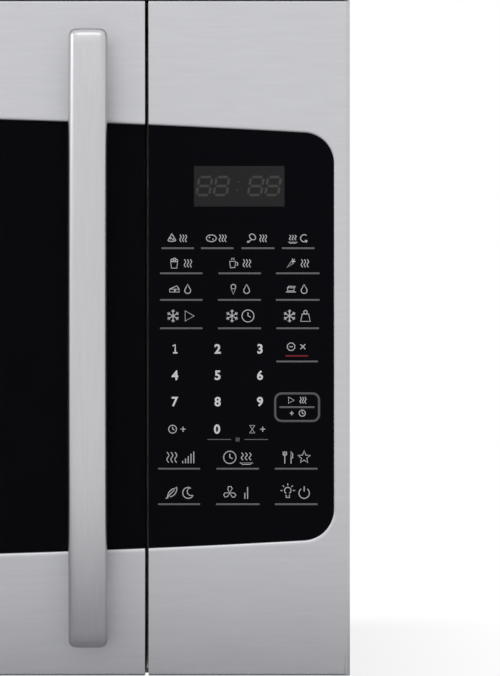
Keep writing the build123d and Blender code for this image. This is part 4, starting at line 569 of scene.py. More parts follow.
def skin_rings(shape, rings):
    made = [[shape.verts.new(point) for point in ring] for ring in rings]
    count = len(made[0])
    for first, second in zip(made, made[1:]):
        for index in range(count):
            after = (index + 1) % count
            shape.faces.new((first[index], first[after], second[after], second[index]))
    shape.faces.new(made[0])
    shape.faces.new(list(reversed(made[-1])))
    bmesh.ops.remove_doubles(shape, verts=shape.verts, dist=close_enough)


def ringed_piece(name, finish, body, node, smooth, *skins):
    shape = bmesh.new()
    for rings in skins:
        skin_rings(shape, rings)
    return finish_piece(mesh_from(name, shape), name, finish, body, [node], smooth)


def spread(first, last, count):
    return [first + (last - first) * step / (count - 1) for step in range(count)]


print("piece helpers ready")

# %% [markdown]
# The steel face is one sheet with a C-shaped cut-out for the black area. Its outer edges
# are bent back over a 3 mm radius, and the edge of the cut-out is rolled in, so that its
# lower run catches the light as a thin bright line. It is made as one closed section that
# travels round the C: each station pairs a point of the black outline with a point of the
# outer rectangle, and the section between the two holds the roll, the flat, the bend and
# the folded edge.
#
# The bend is full at the side and squeezed flatter along the top and the foot. Both meet in
# a mitre at the corner, over a turn of two degrees either way. `tuck` brings the edge of
# the cut-out a little inwards, or outwards where it is negative.

# %% Stations round the black outline
roll = 2.0 * mm
support = 0.4 * mm
squeeze = 0.35
tucked = (bend - sheet) / bend
tucked_squeeze = (squeeze * bend - sheet) / bend
mitre = math.radians(2)


def half_outline(seam_x, right, rise, tuck=0.0):
    """Upper half of the C: inner point and ray, outer point, its two rays, and a support."""
    arc_z = lens_middle - lens_arc
    corner_x = lens_reach - lens_corner
    corner_z = arc_z + math.sqrt((lens_arc - lens_corner) ** 2 - corner_x**2)
    edge_x, edge_z = right - bend, rise - squeeze * bend
    flat_x, flat_z = edge_x - support, edge_z - support
    start = math.atan2(corner_z - arc_z, corner_x)
    corner = math.atan2(edge_z - corner_z, edge_x - corner_x)

    def cut_edge(centre_x, centre_z, radius, angle):
        ray = (math.cos(angle), math.sin(angle))
        reach = radius - tuck * ray[1]
        return (centre_x + reach * ray[0], centre_z + reach * ray[1]), ray

    made = []
    for angle in spread(math.acos(seam_x / lens_arc), start, 25)[:-1]:
        inner, ray = cut_edge(0.0, arc_z, lens_arc, angle)
        rays = ((0.0, squeeze), (0.0, tucked_squeeze))
        made.append((inner, ray, (inner[0], edge_z), *rays, (inner[0], flat_z)))
    angles = spread(start, corner + mitre, 8)
    angles += spread(corner + mitre, corner - mitre, 9)[1:]
    angles += spread(corner - mitre, 0.0, 22)[1:]
    for angle in angles:
        inner, ray = cut_edge(corner_x, corner_z, lens_corner, angle)
        outer = (edge_x, edge_z)
        if angle >= corner + mitre:
            outer = (corner_x + (edge_z - corner_z) / math.tan(angle), edge_z)
        elif angle <= corner - mitre:
            outer = (edge_x, corner_z + (edge_x - corner_x) * math.tan(angle))
        part = (corner - angle) / mitre
        across, up = min(max(part + 1, 0.0), 1.0), min(max(1 - part, 0.0), 1.0)
        rays = ((across, up * squeeze), (across * tucked, up * tucked_squeeze))
        flat = (min(outer[0], flat_x), min(outer[1], flat_z))
        made.append((inner, ray, outer, *rays, flat))
    return made


def mirrored(stations):
    """The same stations upside down and from the last to the first."""
    return [tuple((x, -z) for x, z in station) for station in reversed(stations)]


print("the edge of the cut-out is rolled over", 1000 * roll, "mm")

# %% [markdown]
# The section starts at the edge that is folded back, follows the bend and the flat front
# to the roll, and comes back one sheet deeper. Each of its points is a spot of a station,
# moved along a ray and into the depth.


# %% Section of the sheet and the two steel faces
def face_section(inner, inner_ray, outer, outer_ray, wall_ray, flat, side):
    run = [(outer, outer_ray, bend, fold_depth), (outer, outer_ray, bend, bend + support)]
    for angle in spread(math.pi / 2, 0.0, 9):
        run.append((outer, outer_ray, bend * math.sin(angle), bend * (1 - math.cos(angle))))
    run += [(flat, outer_ray, 0.0, 0.0), (inner, inner_ray, roll + support, 0.0)]
    for angle in spread(0.0, math.pi / 2, 7):
        reach, depth = roll * (1 - math.sin(angle)), sheet * (1 - math.cos(angle))
        run.append((inner, inner_ray, reach, depth))
    run += [(inner, inner_ray, roll + support, sheet), (flat, outer_ray, 0.0, sheet)]
    for angle in spread(0.0, math.pi / 2, 6):
        depth = sheet + (bend - sheet) * (1 - math.cos(angle))
        run.append((outer, wall_ray, bend * math.sin(angle), depth))
    run.append((outer, wall_ray, bend, fold_depth))
    ring = []
    for spot, ray, reach, depth in run:
        x, z = spot[0] + ray[0] * reach, spot[1] + ray[1] * reach
        ring.append((side * x, front + depth, lens_height + z))
    return ring


def steel_face(name, seam_x, low, high, side, body, node):
    upper = half_outline(seam_x, half_front, high - lens_height, tuck=0.9 * mm)
    lower = half_outline(seam_x, half_front, lens_height - low, tuck=-0.3 * mm)
    rings = [face_section(*row, side) for row in upper + mirrored(lower)]
    ringed_piece(name, "stainless_face", body, node, 30, rings)


steel_face(
    "panel_steel_face", panel_low.x, panel_low.z, panel_high.z, 1, "oven", "control_skin"
)
steel_face(
    "door_steel_face", -door_high.x, door_low.z, door_high.z, -1, "door", "door_skin"
)

# %% [markdown]
# The door's glass is black all over except its window, because the real one is printed on
# its back with ceramic ink. The print is a flat sheet with a rounded opening. Two loops of
# edges, the outside and the opening, are filled with triangles and given a thickness.


# %% Helpers for flat sheets with openings
def circle(x, z, radius, first=0.0, last=360.0, steps=14):
    """Points on a circle or, between two angles, on an arc."""
    points = []
    for angle in spread(math.radians(first), math.radians(last), steps + 1):
        points.append((x + radius * math.cos(angle), z + radius * math.sin(angle)))
    return points


def rounded_loop(left, right, low, high, radius):
    loop = []
    near_x, far_x, near_z, far_z = left + radius, right - radius, low + radius, high - radius
    corners = (far_x, far_z), (near_x, far_z), (near_x, near_z), (far_x, near_z)
    for quarter, (x, z) in enumerate(corners):
        loop += circle(x, z, radius, 90 * quarter, 90 * quarter + 90, 8)
    return loop


def thicken(shape, faces, thickness):
    made = bmesh.ops.extrude_face_region(shape, geom=faces)
    moved = [part for part in made["geom"] if isinstance(part, bmesh.types.BMVert)]
    bmesh.ops.translate(shape, verts=moved, vec=(0, thickness, 0))


def flat_sheet(name, loops, y, thickness):
    shape = bmesh.new()
    edges = []
    for loop in loops:
        verts = [shape.verts.new((x, y, z)) for x, z in loop]
        for index, vert in enumerate(verts):
            edges.append(shape.edges.new((vert, verts[(index + 1) % len(verts)])))
    bmesh.ops.triangle_fill(shape, edges=edges, use_beauty=True)
    thicken(shape, shape.faces[:], thickness)
    return mesh_from(name, shape)


print("sheet helpers ready")

# %% Print behind the door's glass
glass_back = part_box("door_glass")[1].y
print_depth = glass_back - 0.07 * mm
print_thickness = 0.04 * mm
print_margin = 2.9 * mm
window_left, window_right = -289.5 * mm, 155.1 * mm
window_foot, window_top = 80.0 * mm, 264.4 * mm
window = rounded_loop(window_left, window_right, window_foot, window_top, 12.0 * mm)
upper = half_outline(-door_high.x, half_front, door_high.z - lens_height)
outline = []
for inner, ray, *_ in upper + mirrored(upper):
    x, z = inner[0] + ray[0] * print_margin, inner[1] + ray[1] * print_margin
    outline.append((-x, lens_height + z))
print_mesh = flat_sheet("door_glass_print", [outline, window], print_depth, print_thickness)
finish_piece(print_mesh, "door_glass_print", "glass_print", "door", smooth=0)
window_area = (window_right - window_left) * (window_top - window_foot)
print("the window in the print is", round(10000 * window_area), "square centimetres")

# %% [markdown]
# The handle is a bowed bar of brushed aluminium on two posts. Its section is a soft
# rectangle, drawn with a superellipse, and each section is moved forward by the bow. At
# both ends the sections shrink over a few millimetres, which rounds the ends. The posts
# flare out where they meet the door.

# %% Handle
handle_low, handle_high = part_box("door_handle")
bow = 8.97 * mm
bar_depth = 13.0 * mm
bar_half = (handle_high.x - handle_low.x) / 2
bar_x = (handle_low.x + handle_high.x) / 2
bar_middle = (handle_low.z + handle_high.z) / 2
bar_reach = (handle_high.z - handle_low.z) / 2
end_round = 4.0 * mm
post_inset = 21.0 * mm
post_half = 7.5 * mm
post_flare = ((0.0, 0.6), (1.2, 0.1), (4.0, 0.0), (27.0, 0.0))
bar_power, post_power = 3.4, 5.0


def full_turn(count):
    return spread(0.0, 2 * math.pi, count + 1)[:-1]


def soft_rectangle(half_x, half_y, power):
    points = []
    for angle in full_turn(40):
        cosine, sine = math.cos(angle), math.sin(angle)
        x = half_x * math.copysign(abs(cosine) ** (2 / power), cosine)
        y = half_y * math.copysign(abs(sine) ** (2 / power), sine)
        points.append((x, y))
    return points


rounding = []
for angle in spread(math.pi / 2, 0.0, 7):
    rounding.append((end_round * (1 - math.sin(angle)), angle))
straight = bar_reach - 2 * end_round
heights = [(-bar_reach + rise, angle) for rise, angle in rounding]
heights += [(z, 0.0) for z in spread(-straight, straight, 40)]
heights += [(bar_reach - rise, angle) for rise, angle in reversed(rounding)]
bar = []
for z, angle in heights:
    inset = end_round * 0.9 * (1 - math.cos(angle))
    forward = bow * (1 - (z / bar_reach) ** 2)
    middle_y = handle_low.y + bow - forward + bar_depth / 2
    section = soft_rectangle(bar_half - inset, bar_depth / 2 - inset, bar_power)
    bar.append([(bar_x + x, middle_y + y, bar_middle + z) for x, y in section])


def post(middle_z):
    rings = []
    for out, flare in post_flare:
        half = post_half + flare * mm
        section = soft_rectangle(half, half, post_power)
        rings.append([(bar_x + x, front - out * mm, middle_z + z) for x, z in section])
    return rings


posts = post(handle_low.z + post_inset), post(handle_high.z - post_inset)
ringed_piece("door_handle_bar", "handle_metal", "door", "door_handle", 50, bar, *posts)
print("the bar is", round(2000 * bar_reach, 1), "mm long")

# %% [markdown]
# The glass tray is pressed with a raised rim and two low rings that stop a dish from
# sliding. A profile of radius and height is spun round the tray's axis.

# %% Glass tray
tray_low, tray_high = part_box("glass_tray")
tray_x, tray_y = -66.0 * mm, 36.25 * mm
under, top = tray_low.z, tray_high.z
surface = under + 5.0 * mm
step_height = 0.5 * mm
profile = [(138.0, under), (146.0, under + 0.8 * mm), (153.0, under + 3.2 * mm)]
profile += [(156.6, under + 6.4 * mm), (157.4, top - 0.6 * mm), (156.8, top - 0.1 * mm)]
profile += [(155.9, top), (154.9, top - 0.3 * mm), (153.4, top - 1.6 * mm)]
profile += [(149.0, surface + 0.9 * mm), (143.0, surface)]
for radius in (112.0, 62.0):
    profile += [(radius + 2.2, surface), (radius + 0.9, surface + step_height)]
    profile += [(radius - 0.9, surface + step_height), (radius - 2.2, surface)]
turn = [(math.cos(angle), math.sin(angle)) for angle in full_turn(96)]
rings = []
for radius, z in profile:
    reach = radius * mm
    rings.append([(tray_x + reach * x, tray_y + reach * y, z) for x, y in turn])
ringed_piece("glass_tray_turned", "tray_glass", "turntable", "glass_tray", 40, rings)
print("tray across:", 2 * max(radius for radius, z in profile), "mm")

# %% [markdown]
# Inside the door, a strip of spring steel folded like a paper fan pushes the latch key down.
# Its foot stands on the key and its head under a tab of the door's frame. The real spring gets
# shorter as the key rises; this piece keeps its shape and moves with the latch.

# %% Latch spring
spring_low, spring_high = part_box("latch_spring")
strip = 0.7 * mm
foot = spring_low.y + 5.5 * mm
swing = 3.4 * mm
ledge = 3.0 * mm
end_gap = 0.8 * mm
fold_waves = 2
fold_start = spring_low.z + strip / 2
fold_height = spring_high.z - spring_low.z - strip
path = [(foot, fold_start), (foot - ledge, fold_start)]
for share in spread(0.0, 1.0, 65):
    level = end_gap + share * (fold_height - 2 * end_gap)
    angle = 2 * math.pi * fold_waves * share
    path.append((foot - swing * math.cos(angle), fold_start + level))
path += [(foot - ledge, fold_start + fold_height), (foot, fold_start + fold_height)]
left, right = spring_low.x, spring_high.x
rings = []
for index, (y, z) in enumerate(path):
    before, after = path[max(index - 1, 0)], path[min(index + 1, len(path) - 1)]
    along_y, along_z = after[0] - before[0], after[1] - before[1]
    length = math.hypot(along_y, along_z)
    out_y, out_z = along_z / length * strip / 2, -along_y / length * strip / 2
    near, far = (y - out_y, z - out_z), (y + out_y, z + out_z)
    rings.append([(left, *near), (right, *near), (right, *far), (left, *far)])
name = "latch_spring_folded"
spring = ringed_piece(name, "hinge_steel", "latch", "latch_spring", 35, rings)
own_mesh(spring)

# %% [markdown]
# The printed symbols are made as curves, because a pen stroke is what they are: each
# stroke is a line of points with a round bevel, which Blender turns into a tube. The tubes
# are then flattened until they stand a few hundredths of a millimetre proud of the film,
# as ink does. Only plain digits are lettering, and every other key has a small picture of
# what it does.


# %% Helpers for printed strokes
def plain_mesh(holder):
    """Turns a curve, a text or a mesh with a modifier into a plain mesh."""
    evaluated = holder.evaluated_get(bpy.context.evaluated_depsgraph_get())
    mesh = bpy.data.meshes.new_from_object(evaluated)
    holder.modifiers.clear()
    bpy.data.objects.remove(holder)
    return mesh


def print_strokes(name, strokes, width, finish):
    """Prints lines of (x, z) points, in millimetres on the film, with a given width."""
    curve = bpy.data.curves.new(name, "CURVE")
    curve.dimensions = "3D"
    curve.bevel_depth = width / 2 * mm
    curve.bevel_resolution = 1
    curve.use_fill_caps = True
    for stroke in strokes:
        spline = curve.splines.new("POLY")
        is_closed = len(stroke) > 3 and math.dist(stroke[0], stroke[-1]) < 1e-6
        points = stroke[:-1] if is_closed else stroke
        spline.points.add(len(points) - 1)
        spline.use_cyclic_u = is_closed
        for point, (x, z) in zip(spline.points, points):
            point.co = (x * mm, film, z * mm, 1.0)
    mesh = plain_mesh(add_object(name, curve))
    mesh.name = name
    proud = 0.04 * mm
    thick = max(abs(vert.co.y - film) for vert in mesh.vertices)
    for vert in mesh.vertices:
        vert.co.y = film - proud / 2 + (vert.co.y - film) / thick * proud / 2
    finish_piece(mesh, name, finish, "oven", smooth=0)


print("stroke helpers ready")

# %% [markdown]
# Each symbol is a list of strokes, drawn in a square of about -1 to 1, so that it can be
# used at any size. Food comes first.


# %% Symbols for food
def closed(*points):
    return [*points, points[0]]


symbols = {}
symbols["waves"] = [
    [(x + 0.16 * math.sin(4 * z), 0.8 * z) for z in spread(-1, 1, 9)] for x in (-0.6, 0.0, 0.6)
]
crust = circle(0, 1.4, 2.1, 245, 295, 6)
toppings = [circle(-0.25, 0.0, 0.16, steps=6), circle(0.3, -0.25, 0.14, steps=6)]
symbols["pizza"] = [[(0, 1.0), crust[0]], [(0, 1.0), crust[-1]], crust, *toppings]
symbols["potato"] = [
    [(1.1 * x, 0.75 * z) for x, z in circle(0, 0, 1)],
    circle(-0.4, 0.15, 0.08, steps=5),
    circle(0.35, -0.2, 0.08, steps=5),
]
symbols["drumstick"] = [
    [(x - 0.3 * z, z) for x, z in circle(0.25, 0.3, 0.65)],
    [(-0.1, -0.3), (-0.7, -0.85)],
    circle(-0.82, -0.78, 0.16, steps=6),
]
symbols["plate"] = [closed((-1, -0.8), (-0.6, -1.05), (0.6, -1.05), (1, -0.8))]
symbols["plate"] += [[(x, z * 0.7 + 0.15) for x, z in wave] for wave in symbols["waves"]]
symbols["corn_bag"] = [closed((-0.55, -1), (0.55, -1), (0.7, 0.3), (-0.7, 0.3))]
for x, z in ((-0.4, 0.6), (0.05, 0.8), (0.45, 0.58)):
    symbols["corn_bag"].append(circle(x, z, 0.26, steps=8))
symbols["cup"] = [
    closed((-0.7, 0.4), (-0.55, -0.9), (0.35, -0.9), (0.5, 0.4)),
    circle(0.6, -0.15, 0.36, -70, 80, 7),
    [(-0.3, 0.7), (-0.2, 1.1)],
    [(0.1, 0.7), (0.2, 1.1)],
]
symbols["carrot"] = [
    closed((-0.9, -0.9), (0.45, 0.0), (0.1, 0.45)),
    [(0.3, 0.25), (0.9, 0.4)],
    [(0.28, 0.28), (0.75, 0.85)],
    [(0.25, 0.3), (0.3, 0.95)],
]
symbols["cheese"] = [
    closed((-1, -0.6), (1, -0.6), (1, 0.0), (-1, 0.0)),
    [(-1, 0.0), (0.5, 0.7), (1, 0.0)],
    circle(0.1, -0.3, 0.15, steps=6),
]
symbols["cone"] = [
    closed((-0.45, 0.1), (0, -1.1), (0.45, 0.1)),
    circle(0, 0.5, 0.5, -35, 215, 10),
]
symbols["butter"] = [
    closed((-0.7, -0.35), (0.7, -0.35), (0.7, 0.3), (-0.7, 0.3)),
    [(-1.05, -0.6), (1.05, -0.6)],
    [(-0.7, 0.3), (-0.4, 0.6), (1.0, 0.6), (0.7, 0.3)],
]
print("food symbols:", ", ".join(symbols))

# %% [markdown]
# The other keys start, stop, weigh, time and light things. Their symbols use the same
# square. What turns or repeats, such as the snowflake's arms and the fan's blades, is a
# loop over angles.


# %% Symbols for actions
def on_circle(angle, reach=1.0):
    return reach * math.cos(math.radians(angle)), reach * math.sin(math.radians(angle))


symbols["snowflake"] = []
for angle in (90, 30, -30):
    u, w = on_circle(angle)
    symbols["snowflake"].append([(-u, -w), (u, w)])
    for end, outward in ((-0.62, 180), (0.62, 0)):
        for tilt in (50, -50):
            tip_u, tip_w = on_circle(angle + tilt + outward, 0.32)
            twig = [(end * u, end * w), (end * u + tip_u, end * w + tip_w)]
            symbols["snowflake"].append(twig)
symbols["clock"] = [circle(0, 0, 0.95), [(0, 0.55), (0, 0), (0.42, -0.2)]]
symbols["scales"] = [
    closed((-0.75, -0.85), (0.75, -0.85), (0.5, 0.3), (-0.5, 0.3)),
    circle(0, 0.58, 0.28, steps=8),
]
symbols["hourglass"] = [closed((-0.6, 0.9), (0.6, 0.9), (-0.6, -0.9), (0.6, -0.9))]
symbols["octagon"] = [circle(0, 0, 0.95, 22.5, 382.5, 8), [(-0.4, 0), (0.4, 0)]]
symbols["arrow"] = [closed((-0.6, -0.8), (0.8, 0), (-0.6, 0.8))]
symbols["plus"] = [[(-0.6, 0), (0.6, 0)], [(0, -0.6), (0, 0.6)]]
symbols["cross"] = [[(-0.6, -0.6), (0.6, 0.6)], [(-0.6, 0.6), (0.6, -0.6)]]
for name, count in (("bars", 5), ("two_bars", 2)):
    places = spread(-0.21 * (count - 1), 0.21 * (count - 1), count)
    symbols[name] = [
        [(x, -0.9), (x, -0.9 + 1.8 * (i + 1) / count)] for i, x in enumerate(places)
    ]
symbols["drop"] = [[(0, 1.0), *circle(0, -0.3, 0.62, 35, -215, 12), (0, 1.0)]]
symbols["turn_back"] = [
    circle(0, 0, 0.8, 50, 320, 12),
    [(0.45, -0.95), (0.66, -0.5), (0.15, -0.45)],
]
symbols["power_mark"] = [circle(0, -0.05, 0.8, 125, 415, 14), [(0, 0.2), (0, 1.0)]]
crescent = circle(0, 0, 0.85, 60, 330, 12) + circle(0.46, 0.2, 0.62, -70, -230, 8)
symbols["moon"] = [closed(*crescent)]
symbols["star"] = [[on_circle(90 + 36 * step, (1.0, 0.42)[step % 2]) for step in range(11)]]
symbols["fork_and_knife"] = [[(x, 0.9), (x, 0.35)] for x in (-0.7, -0.45, -0.2)]
symbols["fork_and_knife"] += [
    [(-0.7, 0.35), (-0.2, 0.35)],
    [(-0.45, 0.35), (-0.45, -0.95)],
    [(0.5, -0.95), (0.5, 0.9), (0.75, 0.5), (0.75, -0.1), (0.5, -0.1)],
]
edge = circle(-0.6, 0.75, 1.5, -80, 10, 8) + circle(0.75, -0.7, 1.5, 100, 190, 8)
symbols["leaf"] = [[(0.85 * x, 0.85 * z) for x, z in edge], [(-0.9, -0.9), (0.4, 0.45)]]
symbols["fan"] = []
for turn in (90, 210, 330):
    blade = ((-30, 0.75), (-12, 0.98), (12, 0.98), (30, 0.62))
    tips = [on_circle(turn + angle, reach) for angle, reach in blade]
    symbols["fan"].append(closed((0.0, 0.0), *tips))
symbols["bulb"] = [
    circle(0, 0.35, 0.5, -60, 240, 10),
    [(-0.25, -0.3), (-0.25, -0.7), (0.25, -0.7), (0.25, -0.3)],
]
for u, w in ((1, 0), (-1, 0), (0, 1), (0.7, 0.7), (-0.7, 0.7)):
    symbols["bulb"].append([(0.8 * u, 0.35 + 0.8 * w), (1.1 * u, 0.35 + 1.1 * w)])
print("symbols in all:", len(symbols))

# %% [markdown]
# Where each key lies was measured on a picture of the panel, in columns and rows of its
# pixels, and `from_picture` turns them into millimetres across and up the front. A key has
# its symbols side by side, and most have a thin underline. `key_row` is given the row of
# the symbols and of the underlines, the symbols' size and gap, and its keys. For each key
# it gets the column, the symbols and, where there is one, both ends of the underline.

# %% Place the keys
pixel = 0.548
panel_right, panel_foot = 379.5, 2.0
picture_right, picture_foot = 350, 676
label_strokes = []
line_strokes = []


def from_picture(column, row):
    x = panel_right - (picture_right - column) * pixel
    return x, panel_foot + (picture_foot - row) * pixel


def placed_symbol(name, x, z, size):
    return [[(x + size * u, z + size * w) for u, w in stroke] for stroke in symbols[name]]


def key_row(row, size, gap, keys, line_row=None):
    for column, names, *ends in keys:
        x, z = from_picture(column, row)
        names = names.split()
        for index, name in enumerate(names):
            shift = (index - (len(names) - 1) / 2) * gap * size
            label_strokes.extend(placed_symbol(name, x + shift, z, size))
        if ends:
            line_strokes.append([from_picture(end, line_row) for end in ends])


key_row(row=238.3, line_row=248.3, size=2.5, gap=2.5, keys=[
    (177.5, "pizza waves", 161.5, 194), (217, "potato waves", 201, 233.5),
    (257.5, "drumstick waves", 241.5, 274.5), (298.5, "plate turn_back", 282, 314.5),
])
key_row(row=263.3, line_row=273.4, size=2.7, gap=2.8, keys=[
    (181, "corn_bag waves", 160, 202.5), (240, "cup waves", 218.5, 261),
    (298, "carrot waves", 276, 319.5),
])
key_row(row=289.2, line_row=300, size=2.6, gap=2.8, keys=[
    (181, "cheese drop", 160, 202.5), (240, "cone drop", 218, 261),
    (297.5, "butter drop", 276, 319.5),
])
key_row(row=316, line_row=328.4, size=3.5, gap=2.5, keys=[
    (181, "snowflake arrow", 160, 202.5), (240, "snowflake clock", 218, 261),
    (297.5, "snowflake scales", 276.5, 319),
])
key_row(row=346.8, line_row=361.6, size=2.3, gap=2.8, keys=[(297, "octagon cross", 276.5, 318)])
key_row(row=400.3, line_row=407.3, size=2.2, gap=3.0, keys=[(297, "arrow waves", 279.5, 314.5)])
key_row(row=413.3, size=1.8, gap=3.2, keys=[(297, "plus clock")])
key_row(row=429.3, size=2.3, gap=2.5, keys=[(177.8, "clock plus"), (257.5, "hourglass plus")])
key_row(row=457.5, line_row=468.9, size=3.6, gap=2.5, keys=[
    (180, "waves bars", 158, 200), (238, "clock plate", 216.5, 259),
    (296, "fork_and_knife star", 275, 317.5),
])
key_row(row=493, line_row=504.4, size=3.6, gap=2.5, keys=[
    (180, "leaf moon", 158, 200), (238, "fan two_bars", 216, 259.5),
    (296, "bulb power_mark", 275, 317.5),
])
small_row, small_column = 439.6, 237.6
small_lines = (207.5, 231.0), (244.5, 268.0)
small_strokes = placed_symbol("waves", *from_picture(small_column, small_row), 1.3)
for ends in small_lines:
    small_strokes.append([from_picture(end, small_row) for end in ends])
print_strokes("key_symbols", label_strokes, 0.58, "ink_label")
print_strokes("key_underlines", line_strokes, 1.1, "ink_line")
print_strokes("key_small_marks", small_strokes, 0.5, "ink_line")

# %% Outline of the start key and the red mark
key_left, key_right, key_top, key_foot = 275.2, 319.1, 393.6, 421.2
key_corner = 3.6
left, high = from_picture(key_left, key_top)
right, low = from_picture(key_right, key_foot)
outline = closed(*rounded_loop(left, right, low, high, key_corner))
print_strokes("start_key_outline", [outline], 1.4, "ink_frame")
red_row, red_left, red_right = 356.0, 285.5, 308.0
red_line = [from_picture(red_left, red_row), from_picture(red_right, red_row)]
print_strokes("stop_key_bar", [red_line], 0.8, "ink_red")
print("start key is", round(right - left, 1), "by", round(high - low, 1), "mm")

# %% [markdown]
# The digits are text objects in Blender's own font, thickened with an offset because the
# printed digits are bold. They are turned upright, made a mesh, scaled to their measured
# height and moved to their keys before they become one piece. The digit 1 is printed with
# strokes, because it has a foot that the font's lacks.


# %% Digits
def digit_mesh(character, x, z, height):
    text = bpy.data.curves.new("digit", "FONT")
    text.body = character
    text.size = 10.0
    text.offset = 0.28
    text.resolution_u = 3
    text.extrude = 0.5
    mesh = plain_mesh(add_object("digit", text))
    across = [vert.co.x for vert in mesh.vertices]
    up = [vert.co.y for vert in mesh.vertices]
    factor = height / (max(up) - min(up))
    middle_x, middle_up = (max(across) + min(across)) / 2, (max(up) + min(up)) / 2
    for vert in mesh.vertices:
        u, w, depth = vert.co
        vert.co = (
            (x + (u - middle_x) * factor) * mm,
            film - 0.02 * mm - depth * 0.04 * mm,
            (z + (w - middle_up) * factor) * mm,
        )
    return mesh


digit_height = 5.3
digit_columns = (174.9, 217.6, 260.0)
digit_rows = (348.9, 375.3, 401.7)
zero_column, zero_row = 217, 429.2
spots = {"0": (zero_column, zero_row)}
for index in range(1, 9):
    spots[str(index + 1)] = (digit_columns[index % 3], digit_rows[index // 3])
shape = bmesh.new()
for character, spot in spots.items():
    shape.from_mesh(digit_mesh(character, *from_picture(*spot), digit_height))
bmesh.ops.remove_doubles(shape, verts=shape.verts, dist=close_enough)
digits = mesh_from("key_digits", shape)
finish_piece(digits, "key_digits", "ink_bright", "oven", smooth=0)
x, z = from_picture(digit_columns[0], digit_rows[0])
one = [[(x - 1.15, z + 1.5), (x + 0.15, z + 2.2), (x + 0.15, z - 2.2)]]
one.append([(x - 1.1, z - 2.2), (x + 1.4, z - 2.2)])
print_strokes("key_digit_one", one, 0.9, "ink_bright")

# %% [markdown]
# The clock is a fluorescent display. Switched off, its seven-segment digits are faintly
# lighter than the smoked lens. A digit is seven bars with pointed ends, leaning a little to
# the right, and the colon is two small squares.


# %% Display segments
def bar_shape(x1, z1, x2, z2, half):
    """A bar with pointed ends between two points, as six corners."""
    length = math.hypot(x2 - x1, z2 - z1)
    u, w = (x2 - x1) / length, (z2 - z1) / length
    corners = [(0.0, 0.0), (half, half), (length - half, half), (length, 0.0)]
    corners += [(length - half, -half), (half, -half)]
    return [(x1 + u * far - w * out, z1 + w * far + u * out) for far, out in corners]


def seven_segments(left, right, low, high):
    middle = (low + high) / 2
    gap, half = 0.45, 0.72
    made = [bar_shape(left + gap, z, right - gap, z, half) for z in (low, middle, high)]
    for x in (left, right):
        made.append(bar_shape(x, low + gap, x, middle - gap, half))
        made.append(bar_shape(x, middle + gap, x, high - gap, half))
    return made


clock_top, clock_foot, upright_row = 177.0, 195.0, 196.5
clock_columns = (197.7, 210.5), (214.9, 227.7), (249.3, 262.1), (266.5, 279.3)
colon_column, colon_rows = 237.5, (182.0, 190.0)
bars = []
lean = math.tan(math.radians(9))
upright_level = from_picture(0, upright_row)[1] + 5
segment_front = film - 0.03 * mm
segment_thickness = 0.02 * mm
for first, last in clock_columns:
    left, low = from_picture(first, clock_foot)
    right, high = from_picture(last, clock_top)
    bars += seven_segments(left, right, low, high)
for row in colon_rows:
    x, z = from_picture(colon_column, row)
    bars.append(bar_shape(x - 0.6, z, x + 0.6, z, 0.4))
shape = bmesh.new()
for bar in bars:
    leaning = [((x + (z - upright_level) * lean) * mm, segment_front, z * mm) for x, z in bar]
    face = shape.faces.new([shape.verts.new(point) for point in leaning])
    thicken(shape, [face], segment_thickness)
segments = mesh_from("display_segments", shape)
finish_piece(segments, "display_segments", "ink_segment", "oven", smooth=0)
print("display has", len(bars), "bars")

# %% [markdown]
# Screws are a job for Geometry Nodes: one head, repeated at points. The head is a low cone
# with a cross cut out of it by a boolean. Its exact solver is the one that copes with two
# cutters whose floors lie at the same height. The tree turns every head to face outwards,
# and its named inputs hold the size and the direction. The result is made a plain mesh.


# %% Geometry Nodes helpers
def geometry_tree(name, inputs):
    ends = {"Geometry": ("Geometry", None)}
    return start_group(name, "GeometryNodeTree", ends | inputs, ends)


def end_tree(tree, geometry, material, result):
    real = first_output(tree, "GeometryNodeRealizeInstances", {0: geometry})
    inputs = {"Geometry": real, "Material": material}
    end_effect(tree, result, Geometry=first_output(tree, "GeometryNodeSetMaterial", inputs))


def grown(name, points, tree, values, body, finish):
    """Runs a tree on a few points and keeps its result as a plain mesh piece."""
    mesh = bpy.data.meshes.new(name)
    mesh.from_pydata(points, [], [])
    seed = add_object(name + "_seed", mesh)
    modifier = seed.modifiers.new("grow", "NODES")
    modifier.node_group = tree
    values = {**values, "Finish": finishes[finish]}
    for item in tree.interface.items_tree:
        if item.in_out == "INPUT" and item.name in values:
            modifier[item.identifier] = values[item.name]
    made = plain_mesh(seed)
    made.name = name
    finish_piece(made, name, finish, body, smooth=30.0)


print("Geometry Nodes helpers ready")

# %% Tree: screw heads
head_radius, head_height = 3.6 * mm, 1.6 * mm
top_share, slot_length, slot_width, cutter_lift = 0.62, 1.1, 0.24, 1.1
screw_heads, given, result = geometry_tree(
    "screw_heads",
    {
        "Head Radius": ("Float", head_radius),
        "Head Height": ("Float", head_height),
        "Turn": ("Vector", (0.0, 0.0, 0.0)),
        "Finish": ("Material", None),
    },
)
node = partial(first_output, screw_heads)
times = partial(math_node, screw_heads, "MULTIPLY")
radius, height = given["Head Radius"], given["Head Height"]
inputs = {"Vertices": 20, "Radius Bottom": radius, "Depth": height}
head = node("GeometryNodeMeshCone", inputs | {"Radius Top": times(radius, top_share)})
cut = place(screw_heads, "GeometryNodeMeshBoolean", solver="EXACT", operation="DIFFERENCE")
screw_heads.links.new(head, cut.inputs["Mesh 1"])
slot_long, slot_thin = times(radius, slot_length), times(radius, slot_width)
for across, up in ((slot_long, slot_thin), (slot_thin, slot_long)):
    size = node("ShaderNodeCombineXYZ", {"X": across, "Y": up, "Z": height})
    bar = node("GeometryNodeMeshCube", {"Size": size})
    lift = node("ShaderNodeCombineXYZ", {"Z": times(height, cutter_lift)})
    bar = node("GeometryNodeTransform", {"Geometry": bar, "Translation": lift})
    screw_heads.links.new(bar, cut.inputs["Mesh 2"])
